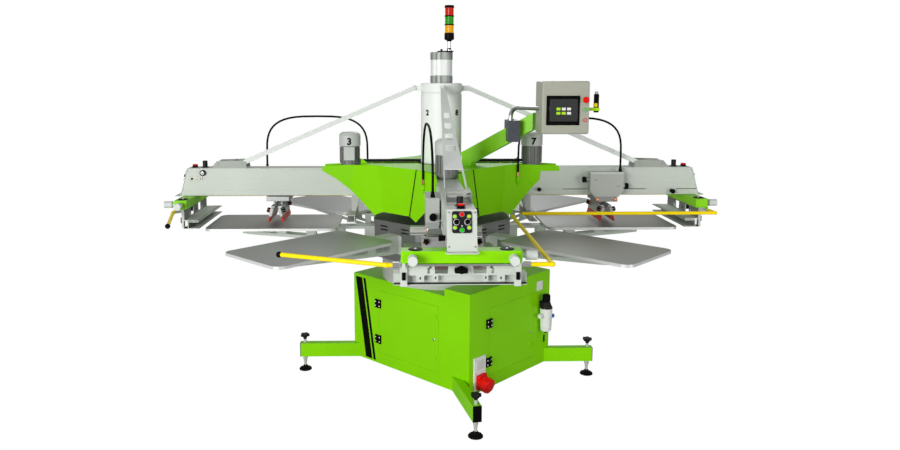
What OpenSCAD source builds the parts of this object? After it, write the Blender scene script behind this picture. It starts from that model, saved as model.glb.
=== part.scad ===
// Floor-standing rotary screen printing press: eight pallets on an indexing
// carousel, four print heads on a central column, all on a cabinet base.
// Origin: column axis at floor level, +Z up, operator's side towards -Y.

/* [Pallets] */
// Radius of the pallets' outer edges
pallet_reach = 1489; // [1440:1:1495]
// Length of one pallet
pallet_l = 829; // [700:1:900]
// Width of one pallet
pallet_w = 500; // [380:1:504]
// Thickness of a pallet board
pallet_t = 16; // [12:1:20]
// Height of the printing surface above the floor
pallet_top = 1033; // [1028:1:1038]
// Corner radius of a pallet
pallet_corner = 52; // [20:1:90]
// Thickness of the bright edge moulding
pallet_rim = 7; // [4:1:10]

/* [Carousel] */
// Distance across the flats of the eight-sided hub
hub_flats = 860; // [760:5:880]
// Height of the hub's skirt
hub_h = 240; // [200:1:242]
// Wall of the hub skirt
hub_wall = 8; // [5:1:14]
// Width of a pallet arm
arm_w = 90; // [60:1:120]
// Depth of a pallet arm
arm_h = 112; // [80:1:120]
// Radius at which an arm ends
arm_reach = 1290; // [1100:5:1380]
// Height of the pad between arm and pallet
arm_pad_t = 9; // [5:1:14]
// Outer radius of the lifting sleeve
sleeve_r = 160; // [150:1:180]
// Stroke of the carousel lift
lift_stroke = 20; // [10:1:20]

/* [Column] */
// Radius of the steel column
column_r = 110; // [95:1:115]
// Radius of the white column shell
shell_r = 131; // [124:1:140]
// Height of the top of the shell
shell_top = 1863; // [1780:1:1900]
// Height of the strut collar
collar_h = 70; // [50:1:90]
// Radius of the lift cylinder on top
cylinder_r = 72; // [55:1:85]
// Height of the lift cylinder
cylinder_h = 195; // [150:1:230]

/* [Print heads] */
// Width of a head beam
beam_w = 126; // [110:1:134]
// Depth of a head beam
beam_h = 176; // [160:1:190]
// Wall of the beam extrusion
beam_wall = 7; // [4:1:10]
// Underside of the beams above the floor
beam_z = 1215; // [1210:1:1222]
// How far the beam's top edge stays behind the cross bar's outer face
beam_back = 38; // [23:1:63]
// How much further the beam end reaches at its bottom edge
beam_rake = 50; // [30:1:70]
// Half width of the block that joins the beams to the column
block_r = 150; // [135:1:170]
// Radius at which the drive motors stand
motor_r = 592; // [560:1:620]
// Diameter of a drive motor
motor_d = 138; // [110:1:146]
// Height of a drive motor
motor_h = 228; // [190:1:250]

/* [Carriages] */
// Radius of the carriages at rest
carriage_x = 1056; // [1040:1:1070]
// Length of a carriage box
carriage_l = 216; // [180:1:230]
// Thickness of a carriage box
carriage_t = 67; // [50:1:75]
// Gap between carriage box and beam
carriage_gap = 8; // [6:1:12]
// Thickness of the yoke under the beam
yoke_t = 30; // [26:1:34]
// Clearance of the yoke under the beam
yoke_gap = 8; // [6:1:12]
// Length of the squeegee and flood blades
blade_l = 320; // [240:5:340]
// Thickness of a blade
blade_t = 9; // [6:1:12]
// Visible height of a blade
blade_h = 40; // [30:1:50]
// Height of the blade tips above the pallets
blade_rise = 25; // [22:1:30]
// Lean of the two blade holders away from each other
blade_lean = 16; // [8:1:20]
// Distance between the two lifting rods
rod_pitch = 46; // [42:1:56]
// Radius of a lifting rod
rod_r = 8; // [5:0.5:9]
// Lifting stroke of the blade holders
blade_stroke = 20; // [10:1:20]

/* [Screen clamps] */
// Length of the green cross bar
bar_l = 532; // [500:1:560]
// Depth of the cross bar along the head
bar_d = 78; // [60:1:84]
// Height of the cross bar
bar_h = 53; // [46:1:60]
// Outer face of the cross bar, as a radius
bar_reach = 1663; // [1655:1:1668]
// Clearance between the beam and the cross bar
bar_gap = 2; // [1:1:6]
// How far the screen channel's outer face stays behind the cross bar's
channel_back = 90; // [87:1:93]
// Depth of the screen channel along the head
channel_d = 68; // [60:1:70]
// Height of the screen channel
channel_h = 46; // [40:1:50]
// Length of the screen channel
channel_l = 600; // [560:1:630]
// Sheet thickness of the channels
channel_t = 5; // [3:1:6]
// Radius of the inner screen brackets
inner_x = 552; // [530:1:570]
// Diameter of the safety bars
safety_d = 20; // [16:1:24]
// Length of the long safety bars
safety_l = 1180; // [1000:5:1200]
// Distance of a long safety bar from the middle of its head
safety_y = 400; // [380:1:410]
// Length of the short safety bar on the front head
safety_short = 540; // [420:5:560]
// Length of the short safety bar on the left head
safety_stub = 428; // [380:2:460]

/* [Covers] */
// Distance of the corner panels from the column axis
panel_x = 403; // [395:1:420]
// Width of a corner panel at its top edge
panel_w = 331; // [300:1:350]
// Width of a corner panel at its bottom edge
panel_low_w = 232; // [200:1:260]
// Bottom edge of the corner panels
panel_z = 1130; // [1122:1:1140]
// Sheet thickness of the covers
sheet_t = 3; // [2:0.5:4]

/* [Base] */
// Length of the cabinet
cabinet_l = 1009; // [940:1:1060]
// Depth of the cabinet
cabinet_d = 824; // [760:1:860]
// Underside of the cabinet
cabinet_z = 98; // [90:1:110]
// Height of the cabinet
cabinet_h = 573; // [520:1:600]
// Width of the raised box along the cabinet's right side
raised_w = 197; // [160:1:220]
// Height of the raised box above the cabinet
raised_h = 46; // [30:1:60]
// Sheet thickness of the cabinet
cabinet_wall = 4; // [2:0.5:6]
// Width of the left door
door_left_w = 520; // [440:1:560]
// Width of the right door
door_right_w = 450; // [400:1:480]
// Height of the doors
door_h = 420; // [360:1:440]
// Radius of the drum under the carousel
drum_r = 385; // [360:1:400]
// Height of the drum
drum_h = 149; // [120:1:156]

/* [Feet] */
// Width of the leg tubes
leg_w = 50; // [40:1:60]
// Depth of the leg tubes
leg_h = 92; // [80:1:100]
// Reach of the side feet from the column
foot_x = 946; // [920:1:980]
// Reach of the front and rear feet from the column
foot_y = 948; // [920:1:980]
// Radius of the foot pads
pad_r = 42; // [34:1:50]
// Radius of the levelling spindles
spindle_r = 9; // [7:0.5:11]
// Diameter of the star knobs
star_d = 62; // [50:1:70]

/* [Control panel] */
// Width of the control box
box_w = 266; // [240:1:290]
// Height of the control box
box_h = 300; // [270:1:320]
// Depth of the control box
box_d = 200; // [160:1:215]
// Section of the green arm
mast_s = 88; // [76:1:92]
// Radius of the bent carrying tube
tube_r = 12; // [10:0.5:14]

/* [Signal tower] */
// Diameter of a lamp lens
lens_d = 55; // [48:1:58]
// Height of a lamp lens
lens_h = 48; // [40:1:50]

/* [Air hoses] */
// Diameter of the carriage hoses
hose_d = 13; // [8:0.5:15]
// Diameter of the ribbed conduits
conduit_d = 20; // [16:1:24]

/* [Hidden] */
$fn = 48;
slip = 0.3;
seat = 0.02;
fit = 0.05;
flat = 8;
beam_top = beam_z + beam_h;
hub_bottom = cabinet_z + cabinet_h + drum_h + 20;
hub_top = hub_bottom + hub_h;
arm_top = pallet_top - pallet_t - arm_pad_t;
hub_r = hub_flats / 2;
car_y = beam_w / 2 + carriage_gap;
yoke_top = beam_z - yoke_gap;
tip_z = pallet_top + blade_rise;
beam_reach = bar_reach - beam_back;
channel_reach = bar_reach - channel_back;
bar_top = beam_z - bar_gap;
bar_in = bar_reach - bar_d;
bar_low = bar_top - bar_h;
channel_low = pallet_top + 11;
channel_in = channel_reach - channel_d;
safety_z = bar_low - 10;
safety_x = bar_reach - 13;
shaft_r = 6;
cab_cu = 50;
cab_cv = 48;
cab_top = cabinet_z + cabinet_h;
leg_left_y = 49;
leg_right_y = -76;
leg_front_x = 144;
leg_front_turn = 11;
leg_rear_x = 0;
lean = [sin(blade_lean), cos(blade_lean)];
collar_top = shell_top + collar_h;
tower_x = 49;
plate_top = beam_top + 29;
panel_half = panel_w / 2;
mast_turn = -28;
mast_tilt = 29;
mast_x = 155;
mast_y = -155;
swing_x = 400;
swing_y = -345;
box_x = 536;
box_y = -420;
box_z = 1646;
colour_green = [0.49, 0.76, 0];
colour_white = [0.93, 0.94, 0.92];
colour_pale = [0.79, 0.82, 0.78];
colour_grey = [0.6, 0.62, 0.61];
colour_dark = [0.13, 0.13, 0.14];
colour_yellow = [1, 0.83, 0];
colour_red = [0.82, 0.1, 0.06];
// A carriage hose rises from its fitting, arches over and drops to the carriage
hose_from = [484, -133, 1370];
hose_to = [carriage_x + carriage_l / 2 - 17, -beam_w / 2 - carriage_gap - carriage_t / 2 - 0.5, beam_top + 7];
hose_spring = 1470;
hose_arch = 245;
function rounded(v) = sign(v) * pow(abs(v), 0.62);
function hose_arc(u) = [
    (hose_from[0] + hose_to[0]) / 2 - (hose_to[0] - hose_from[0]) / 2 * rounded(cos(180 * u)),
    hose_from[1] + (hose_to[1] - hose_from[1]) * u,
    hose_spring + hose_arch * rounded(sin(180 * u))];
hose_route = concat(
    [for (z = [hose_from[2], hose_from[2] + 50]) [hose_from[0], hose_from[1], z]],
    [for (k = [0 : 24]) hose_arc(k / 24)],
    [for (z = [hose_to[2] + 36, hose_to[2]]) [hose_to[0], hose_to[1], z]]);

// Placing: a head's own frame has +X along the head, away from the column
module at_head(station) {
    turn = station == 1 ? 270 : station == 3 ? 180 : station == 5 ? 90 : 0;
    rotate([0, 0, turn]) children();
}

module every_head() {
    for (station = [1, 3, 5, 7]) at_head(station) children();
}

module box_at(low, high) {
    translate(low) cube(high - low);
}

// A round-cornered rectangle, its left edge on the Y axis
module rounded_outline(l, w, r) {
    union() {
        translate([0, r - w / 2]) square([l, w - 2 * r]);
        translate([r, -w / 2]) square([l - 2 * r, w]);
        for (x = [r, l - r], y = [r - w / 2, w / 2 - r]) translate([x, y]) circle(r);
    }
}

// Outline in head coordinates X and Z, extruded across the head
module across(y0, y1) {
    translate([0, y1, 0]) rotate([90, 0, 0]) linear_extrude(y1 - y0) children();
}

// A bent sheet: a flat or slightly warped outline given its thickness
function inward(points, shift) =
    cross(points[1] - points[0], points[2] - points[0]) * shift > 0 ? points
    : concat([points[0]], [for (i = [len(points) - 1 : -1 : 1]) points[i]]);
module sheet(outline, shift) {
    points = inward(outline, shift);
    n = len(points);
    polyhedron(
        points = concat(points, [for (p = points) p + shift]),
        faces = concat(
            [for (i = [1 : n - 2]) [0, i, i + 1]],
            [for (i = [1 : n - 2]) [n, n + i + 1, n + i]],
            [for (i = [0 : n - 1]) [i, n + i, (i + 1) % n]],
            [for (i = [0 : n - 1]) [(i + 1) % n, n + i, n + (i + 1) % n]]),
        convexity = 4);
}

// A tube swept along a list of points
function direction(path, i) =
    let (a = path[max(i - 1, 0)], b = path[min(i + 1, len(path) - 1)]) (b - a) / norm(b - a);
module swept_tube(path, d, sides) {
    step = 360 / sides;
    ring = [for (i = [0 : len(path) - 1])
        let (w = direction(path, i), side = cross(w, [0, 1, 0]), v = side / norm(side), u = cross(v, w))
        for (k = [0 : sides - 1]) path[i] + d / 2 * (u * cos(k * step) + v * sin(k * step))];
    last = (len(path) - 1) * sides;
    polyhedron(
        points = ring,
        faces = concat(
            [[for (k = [0 : sides - 1]) k]],
            [[for (k = [sides - 1 : -1 : 0]) last + k]],
            [for (i = [0 : len(path) - 2], k = [0 : sides - 1])
                [i * sides + k, (i + 1) * sides + k, i * sides + (k + 1) % sides]],
            [for (i = [0 : len(path) - 2], k = [0 : sides - 1])
                [i * sides + (k + 1) % sides, (i + 1) * sides + k, (i + 1) * sides + (k + 1) % sides]]),
        convexity = 6);
}

// Cabinet frame: its own X along the long side, turned 45 degrees to the press
module cabinet_frame() {
    rotate([0, 0, -45]) translate([cab_cu, cab_cv, 0]) children();
}

// Cabinet: folded sheet with two door openings and a raised box beside the drum
door_slot = 1;
module door_gap(side) {
    z0 = cabinet_z + (cabinet_h - door_h) / 2;
    if (side == "left") {
        box_at([-door_left_w / 2 - door_slot, -cabinet_d / 2 - 1, z0 - door_slot],
            [door_left_w / 2 + door_slot, cabinet_wall + 1 - cabinet_d / 2, z0 + door_h + door_slot]);
    } else {
        box_at([cabinet_l / 2 - cabinet_wall - 1, -door_right_w / 2 - door_slot, z0 - door_slot],
            [cabinet_l / 2 + 1, door_right_w / 2 + door_slot, z0 + door_h + door_slot]);
    }
}

module cabinet_block() {
    box_at([-cabinet_l / 2, -cabinet_d / 2, cabinet_z], [cabinet_l / 2, cabinet_d / 2, cab_top]);
}

module raised_box(wall) {
    difference() {
        box_at([cabinet_l / 2 - raised_w + wall, wall - cabinet_d / 2, cab_top - wall - 1],
            [cabinet_l / 2 - wall, cabinet_d / 2 - wall, cab_top + raised_h - wall]);
        translate([-cab_cu, -cab_cv, 0])
            cylinder(r = drum_r + slip + wall, h = cab_top + raised_h + 1, $fn = 96);
    }
}

module base_cabinet() {
    w = cabinet_wall;
    color(colour_green) cabinet_frame() difference() {
        union() {
            cabinet_block();
            raised_box(0);
        }
        raised_box(w);
        box_at([w - cabinet_l / 2, w - cabinet_d / 2, cabinet_z + w],
            [cabinet_l / 2 - w, cabinet_d / 2 - w, cab_top - w]);
        door_gap("left");
        door_gap("right");
    }
}

// Doors swing on knuckles that stand proud of the cabinet face
knuckle_r = 7;
pin_r = 4;
leaf_w = 18;
leaf_t = 3;
knuckle_h = 17;

module door_leaf(w) {
    z0 = cabinet_z + (cabinet_h - door_h) / 2;
    box_at([0, 0, z0], [w, cabinet_wall, z0 + door_h]);
    box_at([18, cabinet_wall, z0 + 18], [w - 18, cabinet_wall + 16, z0 + 34]);
    box_at([18, cabinet_wall, z0 + door_h - 34], [w - 18, cabinet_wall + 16, z0 + door_h - 18]);
    for (z = [z0 + 90, z0 + door_h - 90]) difference() {
        union() {
            box_at([-flat, -leaf_t, z - knuckle_h / 2], [leaf_w, 0, z + knuckle_h / 2]);
            translate([-flat, -flat, z - knuckle_h / 2]) cylinder(r = knuckle_r, h = knuckle_h);
        }
        translate([-flat, -flat, z - knuckle_h]) cylinder(r = pin_r + fit, h = 2 * knuckle_h);
    }
    for (z = [z0 + 90, z0 + door_h - 70]) {
        translate([w - 26, 0, z]) rotate([90, 0, 0]) cylinder(r = 13, h = 5);
    }
}

module hinge_pair() {
    z0 = cabinet_z + (cabinet_h - door_h) / 2;
    for (z = [z0 + 90, z0 + door_h - 90]) {
        translate([-flat, -flat, z - 1.5 * knuckle_h]) cylinder(r = pin_r, h = 3 * knuckle_h);
        for (end = [-1.5, 0.5]) {
            box_at([-flat - leaf_w, -leaf_t, z + end * knuckle_h], [-flat, 0, z + (end + 1) * knuckle_h]);
            translate([-flat, -flat, z + end * knuckle_h]) cylinder(r = knuckle_r, h = knuckle_h);
        }
    }
}

module left_door_place() {
    cabinet_frame() translate([-door_left_w / 2, -cabinet_d / 2, 0]) children();
}

module right_door_place() {
    cabinet_frame() translate([cabinet_l / 2, -door_right_w / 2, 0]) rotate([0, 0, 90]) children();
}

module door_left() {
    color(colour_green) left_door_place() door_leaf(door_left_w);
}

module door_right() {
    color(colour_green) right_door_place() door_leaf(door_right_w);
}

module door_hinges() {
    color(colour_dark) {
        left_door_place() hinge_pair();
        right_door_place() hinge_pair();
    }
}

// Legs reach out along the press axes from the cabinet's corners
cap_t = 4;
module leg_place(side) {
    if (side == "left") translate([0, leg_left_y, 0]) rotate([0, 0, 180]) children();
    if (side == "right") translate([0, leg_right_y, 0]) children();
    if (side == "front") translate([leg_front_x, -leg_foot(side), 0]) rotate([0, 0, leg_front_turn - 90])
        translate([-leg_foot(side), 0, 0]) children();
    if (side == "rear") translate([leg_rear_x, 0, 0]) rotate([0, 0, 90]) children();
}

function leg_reach(side) = side == "left" ? foot_x : side == "right" ? foot_x + 62
    : side == "front" ? foot_y + 32 : foot_y;
function leg_foot(side) = leg_reach(side) - 32;

module leg_tube(side) {
    difference() {
        leg_place(side) box_at([480, -leg_w / 2, cabinet_z],
            [leg_reach(side) - cap_t, leg_w / 2, cabinet_z + leg_h]);
        cabinet_frame() cabinet_block();
        leg_place(side) translate([leg_foot(side), 0, cabinet_z - 1])
            cylinder(r = spindle_r + fit, h = leg_h + 2);
    }
}

module leg_tubes() {
    color(colour_green) for (side = ["left", "right", "front", "rear"]) leg_tube(side);
}

module leg_end_caps() {
    color(colour_dark) for (side = ["left", "right", "front", "rear"]) {
        leg_place(side) box_at([leg_reach(side) - cap_t, -leg_w / 2, cabinet_z],
            [leg_reach(side), leg_w / 2, cabinet_z + leg_h]);
    }
}

// Star knob with five lobes
module star_knob(d, h) {
    cylinder(d = 0.72 * d, h = h);
    for (a = [0 : 72 : 288]) rotate([0, 0, a]) translate([0.36 * d, 0, 0]) cylinder(d = 0.28 * d, h = h);
}

module levelling_foot(side) {
    knob_z = cabinet_z + leg_h + 42;
    color(colour_dark) leg_place(side) translate([leg_foot(side), 0, 0]) {
        rotate_extrude() polygon([[0, 0], [pad_r, 0], [pad_r, 9], [pad_r - 5, 14], [16, 19],
            [14, 34], [spindle_r, 34], [spindle_r, knob_z + 16], [0, knob_z + 16]]);
        translate([0, 0, knob_z]) star_knob(star_d, 20);
    }
}

module foot_left() levelling_foot("left");
module foot_right() levelling_foot("right");
module foot_front() levelling_foot("front");
module foot_rear() levelling_foot("rear");

// Red angled mains inlet on a white plate, right of the front corner
module power_inlet() {
    face = cabinet_l / 2;
    low = cabinet_z + 34;
    y = 25 - cabinet_d / 2;
    cabinet_frame() {
        color(colour_white) box_at([face, y, low], [face + flat, y + 110, low + 204]);
        color(colour_red) {
            box_at([face + flat, y + 13, low + 12], [face + 30, y + 97, low + 104]);
            translate([face + 22, y + 55, low + 58]) rotate([0, 104, 0]) {
                cylinder(r = 36, h = 54);
                translate([0, 0, 40]) cylinder(r = 41, h = 14);
            }
        }
    }
}

// Filter regulator: bracket, body, clear bowl, silver stub and shut-off valve
reg_y = 312;
reg_x = 44;
module air_regulator() {
    face = cabinet_l / 2;
    z0 = cabinet_z + 222;
    color(colour_grey) cabinet_frame() {
        box_at([face, reg_y - 30, z0 + 130], [face + 6, reg_y + 30, z0 + 214]);
        box_at([face + 6, reg_y - 18, z0 + 150], [face + reg_x - 20, reg_y + 18, z0 + 190]);
        translate([face + reg_x, reg_y, z0]) {
            rotate_extrude() polygon([[0, 0], [8, 0], [8, 14], [22, 20], [25, 28], [25, 104], [0, 104]]);
            translate([0, 0, 104]) rotate_extrude() polygon([[0, 0], [31, 0], [31, 14], [28, 18],
                [28, 100], [24, 106], [0, 106]]);
            rotate([90, 0, 0]) translate([0, 150, -58]) cylinder(r = 11, h = 116);
        }
    }
}

module regulator_knob() {
    color(colour_dark) cabinet_frame() translate([cabinet_l / 2 + reg_x, reg_y, cabinet_z + 222 + 210])
        rotate_extrude() polygon([[0, 0], [24, 0], [26, 6], [25, 42], [20, 48], [0, 48]]);
}

module drum_housing() {
    color(colour_grey) translate([0, 0, cab_top]) rotate_extrude($fn = 96)
        polygon([[column_r + slip, seat], [drum_r, seat], [drum_r, drum_h - 12], [drum_r - 12, drum_h],
            [column_r + slip, drum_h]]);
}

// Column with the square block that the four beams bolt to
module centre_column() {
    color(colour_grey) {
        translate([0, 0, cab_top + seat]) cylinder(r = column_r, h = shell_top - cab_top - seat);
        box_at([-block_r, -block_r, beam_z], [block_r, block_r, beam_top]);
    }
}

module column_shell() {
    color(colour_white) translate([0, 0, plate_top + 2]) difference() {
        cylinder(r = shell_r, h = shell_top - plate_top - 2, $fn = 96);
        translate([0, 0, -1]) cylinder(r = column_r + slip, h = shell_top - plate_top);
    }
}

lug_x = 176;
lug_z = shell_top + 37;
lug_t = 12;
strut_pin_r = 7;
module strut_collar() {
    color(colour_white) difference() {
        union() {
            translate([0, 0, shell_top]) rotate_extrude($fn = 96) polygon([[0, 0], [shell_r - 8, 0],
                [shell_r + 2, 16], [shell_r + 2, collar_h - 6], [shell_r - 4, collar_h], [0, collar_h]]);
            every_head() {
                box_at([shell_r - 10, -lug_t / 2, lug_z - 17], [lug_x, lug_t / 2, lug_z + 17]);
                translate([lug_x, lug_t / 2, lug_z]) rotate([90, 0, 0]) cylinder(r = 17, h = lug_t);
            }
        }
        every_head() translate([lug_x, lug_t, lug_z]) rotate([90, 0, 0])
            cylinder(r = strut_pin_r + fit, h = 2 * lug_t);
    }
}

module lift_cylinder() {
    band = 46;
    color(colour_grey) translate([0, 0, collar_top]) rotate_extrude($fn = 72) polygon([
        [0, 0], [cylinder_r, 0], [cylinder_r, band], [cylinder_r - 3, band + 2],
        [cylinder_r - 3, cylinder_h - band - 2], [cylinder_r, cylinder_h - band],
        [cylinder_r, cylinder_h - 3], [cylinder_r - 3, cylinder_h], [0, cylinder_h]]);
}

module signal_tower() {
    z0 = collar_top + cylinder_h;
    r = lens_d / 2;
    color(colour_dark) {
        box_at([-24, -30, z0], [tower_x + 20, 30, z0 + 4]);
        translate([0, 0, z0 + 4]) cylinder(r = 8, h = 16);
        translate([tower_x, 0, z0 + 4]) rotate_extrude() polygon([
            [0, 0], [15, 0], [15, 20], [10, 24], [10, 73], [r + 2, 73], [r + 3, 78], [r + 3, 116],
            [r, 118], [r, 118 + lens_h], [r + 3, 118 + lens_h], [r + 3, 124 + lens_h],
            [r, 124 + lens_h], [r, 124 + 2 * lens_h], [r + 3, 124 + 2 * lens_h],
            [r + 3, 130 + 2 * lens_h], [r, 130 + 2 * lens_h], [r, 130 + 3 * lens_h],
            [r + 3, 130 + 3 * lens_h], [r + 3, 142 + 3 * lens_h], [r, 146 + 3 * lens_h],
            [0, 146 + 3 * lens_h]]);
    }
}

// Carousel: a sleeve lifts on the column, the hub turns on the sleeve
module lift_sleeve() {
    base = cab_top + drum_h;
    color(colour_grey) translate([0, 0, base]) difference() {
        union() {
            cylinder(r = sleeve_r + 50, h = hub_bottom - base);
            cylinder(r = sleeve_r, h = hub_top - base - 4);
        }
        translate([0, 0, -1]) cylinder(r = column_r + fit, h = hub_top - base + 2);
    }
}

module octagon(r, h) {
    rotate([0, 0, 22.5]) cylinder(r = r / cos(22.5), h = h, $fn = 8);
}

module carousel_hub() {
    color(colour_grey) translate([0, 0, hub_bottom]) difference() {
        union() {
            difference() {
                octagon(hub_r, hub_h);
                translate([0, 0, -1]) octagon(hub_r - hub_wall, hub_h - 11);
            }
            cylinder(r = sleeve_r + 26, h = hub_h - 11);
        }
        translate([0, 0, -1]) cylinder(r = sleeve_r + fit, h = hub_h + 2);
        for (a = [0 : 45 : 315]) rotate([0, 0, a]) for (y = [-92, 92]) {
            box_at([hub_r - hub_wall - 1, y - 32, hub_h - 40], [hub_r + 1, y + 32, hub_h - 30]);
            box_at([hub_r - hub_wall - 1, y - 32, hub_h - 62], [hub_r + 1, y + 32, hub_h - 52]);
        }
    }
}

// A folded arm, open below, with windows in its cheeks and pads for the pallet
module pallet_arm() {
    low = arm_top - arm_h;
    cheek = 4;
    pad_top = pallet_top - pallet_t + 4;
    pitch = (arm_reach - hub_r - 100) / 4;
    difference() {
        across(-arm_w / 2, arm_w / 2) polygon([[hub_r, low], [hub_r + 90, low],
            [arm_reach - 90, arm_top - 0.5 * arm_h], [arm_reach, arm_top - 0.4 * arm_h],
            [arm_reach, arm_top], [hub_r, arm_top]]);
        across(cheek - arm_w / 2, arm_w / 2 - cheek) polygon([[hub_r + 8, low - 1],
            [arm_reach + 1, low - 1], [arm_reach + 1, arm_top - cheek], [hub_r + 8, arm_top - cheek]]);
        across(-arm_w, arm_w) for (k = [0 : 3]) {
            x = hub_r + 70 + pitch * k;
            drop = 0.5 * arm_h * max(0, x - hub_r - 90) / (arm_reach - hub_r - 180);
            polygon([[x, low + 20 + drop], [x + pitch - 60, low + 20 + drop + 12],
                [x + pitch - 60, arm_top - 18], [x, arm_top - 18]]);
        }
    }
    for (x = [pallet_reach - pallet_l + 90, arm_reach - 150]) {
        box_at([x, -arm_w / 2, arm_top - 1], [x + 120, arm_w / 2, pad_top]);
    }
    box_at([hub_r, -arm_w / 2 - 22, low - 8], [hub_r + 8, arm_w / 2 + 22, arm_top - 6]);
}

module every_pallet() {
    for (a = [0 : 45 : 315]) rotate([0, 0, a]) children();
}

module pallet_arms() {
    color(colour_pale) every_pallet() pallet_arm();
}

module pallet_boards() {
    color(colour_grey) every_pallet() translate([pallet_reach - pallet_l, 0, pallet_top - pallet_t]) {
        difference() {
            linear_extrude(pallet_t) rounded_outline(pallet_l, pallet_w, pallet_corner);
            translate([pallet_rim, 0, -1]) linear_extrude(5)
                rounded_outline(pallet_l - 2 * pallet_rim, pallet_w - 2 * pallet_rim,
                    pallet_corner - pallet_rim);
        }
    }
}

// Head beam: hollow extrusion with slots along its sides and a raked end
module head_beam() {
    intersection() {
        across(-beam_w, beam_w) polygon([[block_r, beam_z], [beam_reach + beam_rake, beam_z],
            [beam_reach, beam_top], [block_r, beam_top]]);
        translate([block_r, 0, beam_z]) rotate([90, 0, 90]) linear_extrude(beam_reach + beam_rake)
            difference() {
                translate([-beam_w / 2, 0]) square([beam_w, beam_h]);
                translate([beam_wall - beam_w / 2, beam_wall])
                    square([beam_w - 2 * beam_wall, beam_h - 2 * beam_wall]);
                for (side = [-1, 1]) {
                    for (z = [0.21, 0.93]) translate([side * beam_w / 2 - 3, z * beam_h - 4]) square([6, 8]);
                    for (z = [0.42, 0.62]) translate([side * beam_w / 2 - 1, z * beam_h]) square([2, 3]);
                }
            }
    }
}

module head_beams() {
    color(colour_pale) every_head() head_beam();
}

// Frame on the raked end face: X across, Y up the slope, Z outwards
rake_angle = atan(beam_rake / beam_h);
end_t = 4;
slope_h = norm([beam_rake, beam_h]);
module on_end_face() {
    translate([beam_reach + beam_rake + end_t, 0, beam_z]) rotate([0, -rake_angle, 0])
        rotate([90, 0, 90]) children();
}

module beam_end_plate() {
    half = beam_w / 2 + 3;
    across(-half, half) polygon([[beam_reach + beam_rake, beam_z], [beam_reach + beam_rake + end_t, beam_z],
        [beam_reach + end_t, beam_top], [beam_reach, beam_top]]);
    difference() {
        translate([beam_reach + beam_rake, 0, beam_z - 4]) linear_extrude(4)
            rounded_outline(38, 2 * half + 14, 14);
        box_at([beam_reach + beam_rake + 14, -46, beam_z - 5], [beam_reach + beam_rake + 26, 46, beam_z + 1]);
    }
}

module beam_end_plates() {
    color(colour_pale) every_head() beam_end_plate();
}

// Push-button panel, knobs, gauge, bar caps and hose fittings of one head
module head_fittings() {
    on_end_face() {
        translate([-41, 80, 0]) linear_extrude(5) translate([0, 47.5])
            rounded_outline(82, 95, 8);
        translate([0, 160, 5]) cylinder(r = 8, h = 6);
        translate([0, 94, 5]) cylinder(r = 8, h = 6);
        for (x = [-28, 28]) {
            translate([x, 151, 5]) cylinder(r = 7, h = 5);
            translate([x, 104, 5]) cylinder(r = 7, h = 5);
        }
        for (x = [-22, 22]) translate([x, 127, 5]) cylinder(r = 9, h = 9);
    }
    translate([beam_reach - 31, 0, beam_top]) {
        cylinder(r = 20, h = 6);
        translate([0, 0, 6]) cylinder(r = 17, h = 10);
    }
    translate([beam_reach - 95, 0, beam_top]) {
        cylinder(r = 24, h = 4);
        translate([0, 0, 4]) cylinder(r = 18, h = 40);
    }
    translate([beam_reach - 95, beam_w / 2, beam_top - 29]) rotate([-90, 0, 0]) cylinder(r = 18, h = 16);
    box_at([beam_reach - 90, beam_w / 2, beam_top - 80], [beam_reach - 4, beam_w / 2 + 4, beam_top - 54]);
    translate([beam_reach - 124, -beam_w / 2, beam_z + 22]) rotate([90, 0, 0]) cylinder(r = 13, h = 26);
    for (y = [-202, 202]) translate([bar_reach - 40, y, bar_top]) cylinder(r = 30, h = 3);
    translate(hose_from - [0, 0, 30]) {
        cylinder(r = hose_d / 2 + 1, h = 12, $fn = 6);
        cylinder(r = hose_d / 2 + 0.4, h = 30);
    }
}

module beam_fittings() {
    color(colour_dark) every_head() head_fittings();
}

// Struts: tapered folded channels pinned to the collar and to the beam
strut_foot_x = beam_reach - 339;
strut_foot_z = beam_top + 29;
strut_run = strut_foot_x - lug_x;
strut_fall = lug_z - strut_foot_z;
strut_len = norm([strut_run, strut_fall]);
strut_deep = 28;
strut_half_top = 15;
strut_half_low = 56;
strut_t = 4;
web_end = strut_len - 189;
function strut_half(x) = strut_half_top + (strut_half_low - strut_half_top) * x / strut_len;

module strut_hole(x, w) {
    polygon(concat([[x, -w / 2]],
        [for (a = [-90 : 15 : 90]) [x + 76 - w / 2 + w / 2 * cos(a), w / 2 * sin(a)]], [[x, w / 2]]));
}

module strut_cheek(side) {
    taper = atan((strut_half_low - strut_half_top) / strut_len);
    translate([0, side * strut_half_top, 0]) rotate([0, 0, side * taper])
        across(side > 0 ? -strut_t : 0, side > 0 ? 0 : strut_t)
            polygon([[-12, -strut_deep / 2], [strut_len + 12, -strut_deep / 2],
                [strut_len + 20, -8], [strut_len + 20, 8],
                [strut_len + 12, strut_deep / 2], [-12, strut_deep / 2]]);
}

module head_strut() {
    translate([lug_x, 0, lug_z]) rotate([0, atan(strut_fall / strut_run), 0]) {
        difference() {
            union() {
                strut_cheek(1);
                strut_cheek(-1);
            }
            translate([strut_len, strut_half_low + 20, 0]) rotate([90, 0, 0])
                cylinder(r = strut_pin_r + fit, h = 2 * strut_half_low + 40);
        }
        translate([0, 0, strut_deep / 2 - strut_t]) linear_extrude(strut_t) difference() {
            polygon([[24, 1 - strut_half(24)], [web_end, 1 - strut_half(web_end)],
                [web_end, strut_half(web_end) - 1], [24, strut_half(24) - 1]]);
            for (k = [0 : 3]) strut_hole(strut_len * (0.306 + 0.1083 * k), 32 + 8 * k);
        }
        translate([0, strut_half_top - 1, 0]) rotate([90, 0, 0])
            cylinder(r = strut_pin_r, h = 2 * strut_half_top - 2);
    }
}

module head_struts() {
    color(colour_white) every_head() head_strut();
}

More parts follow.
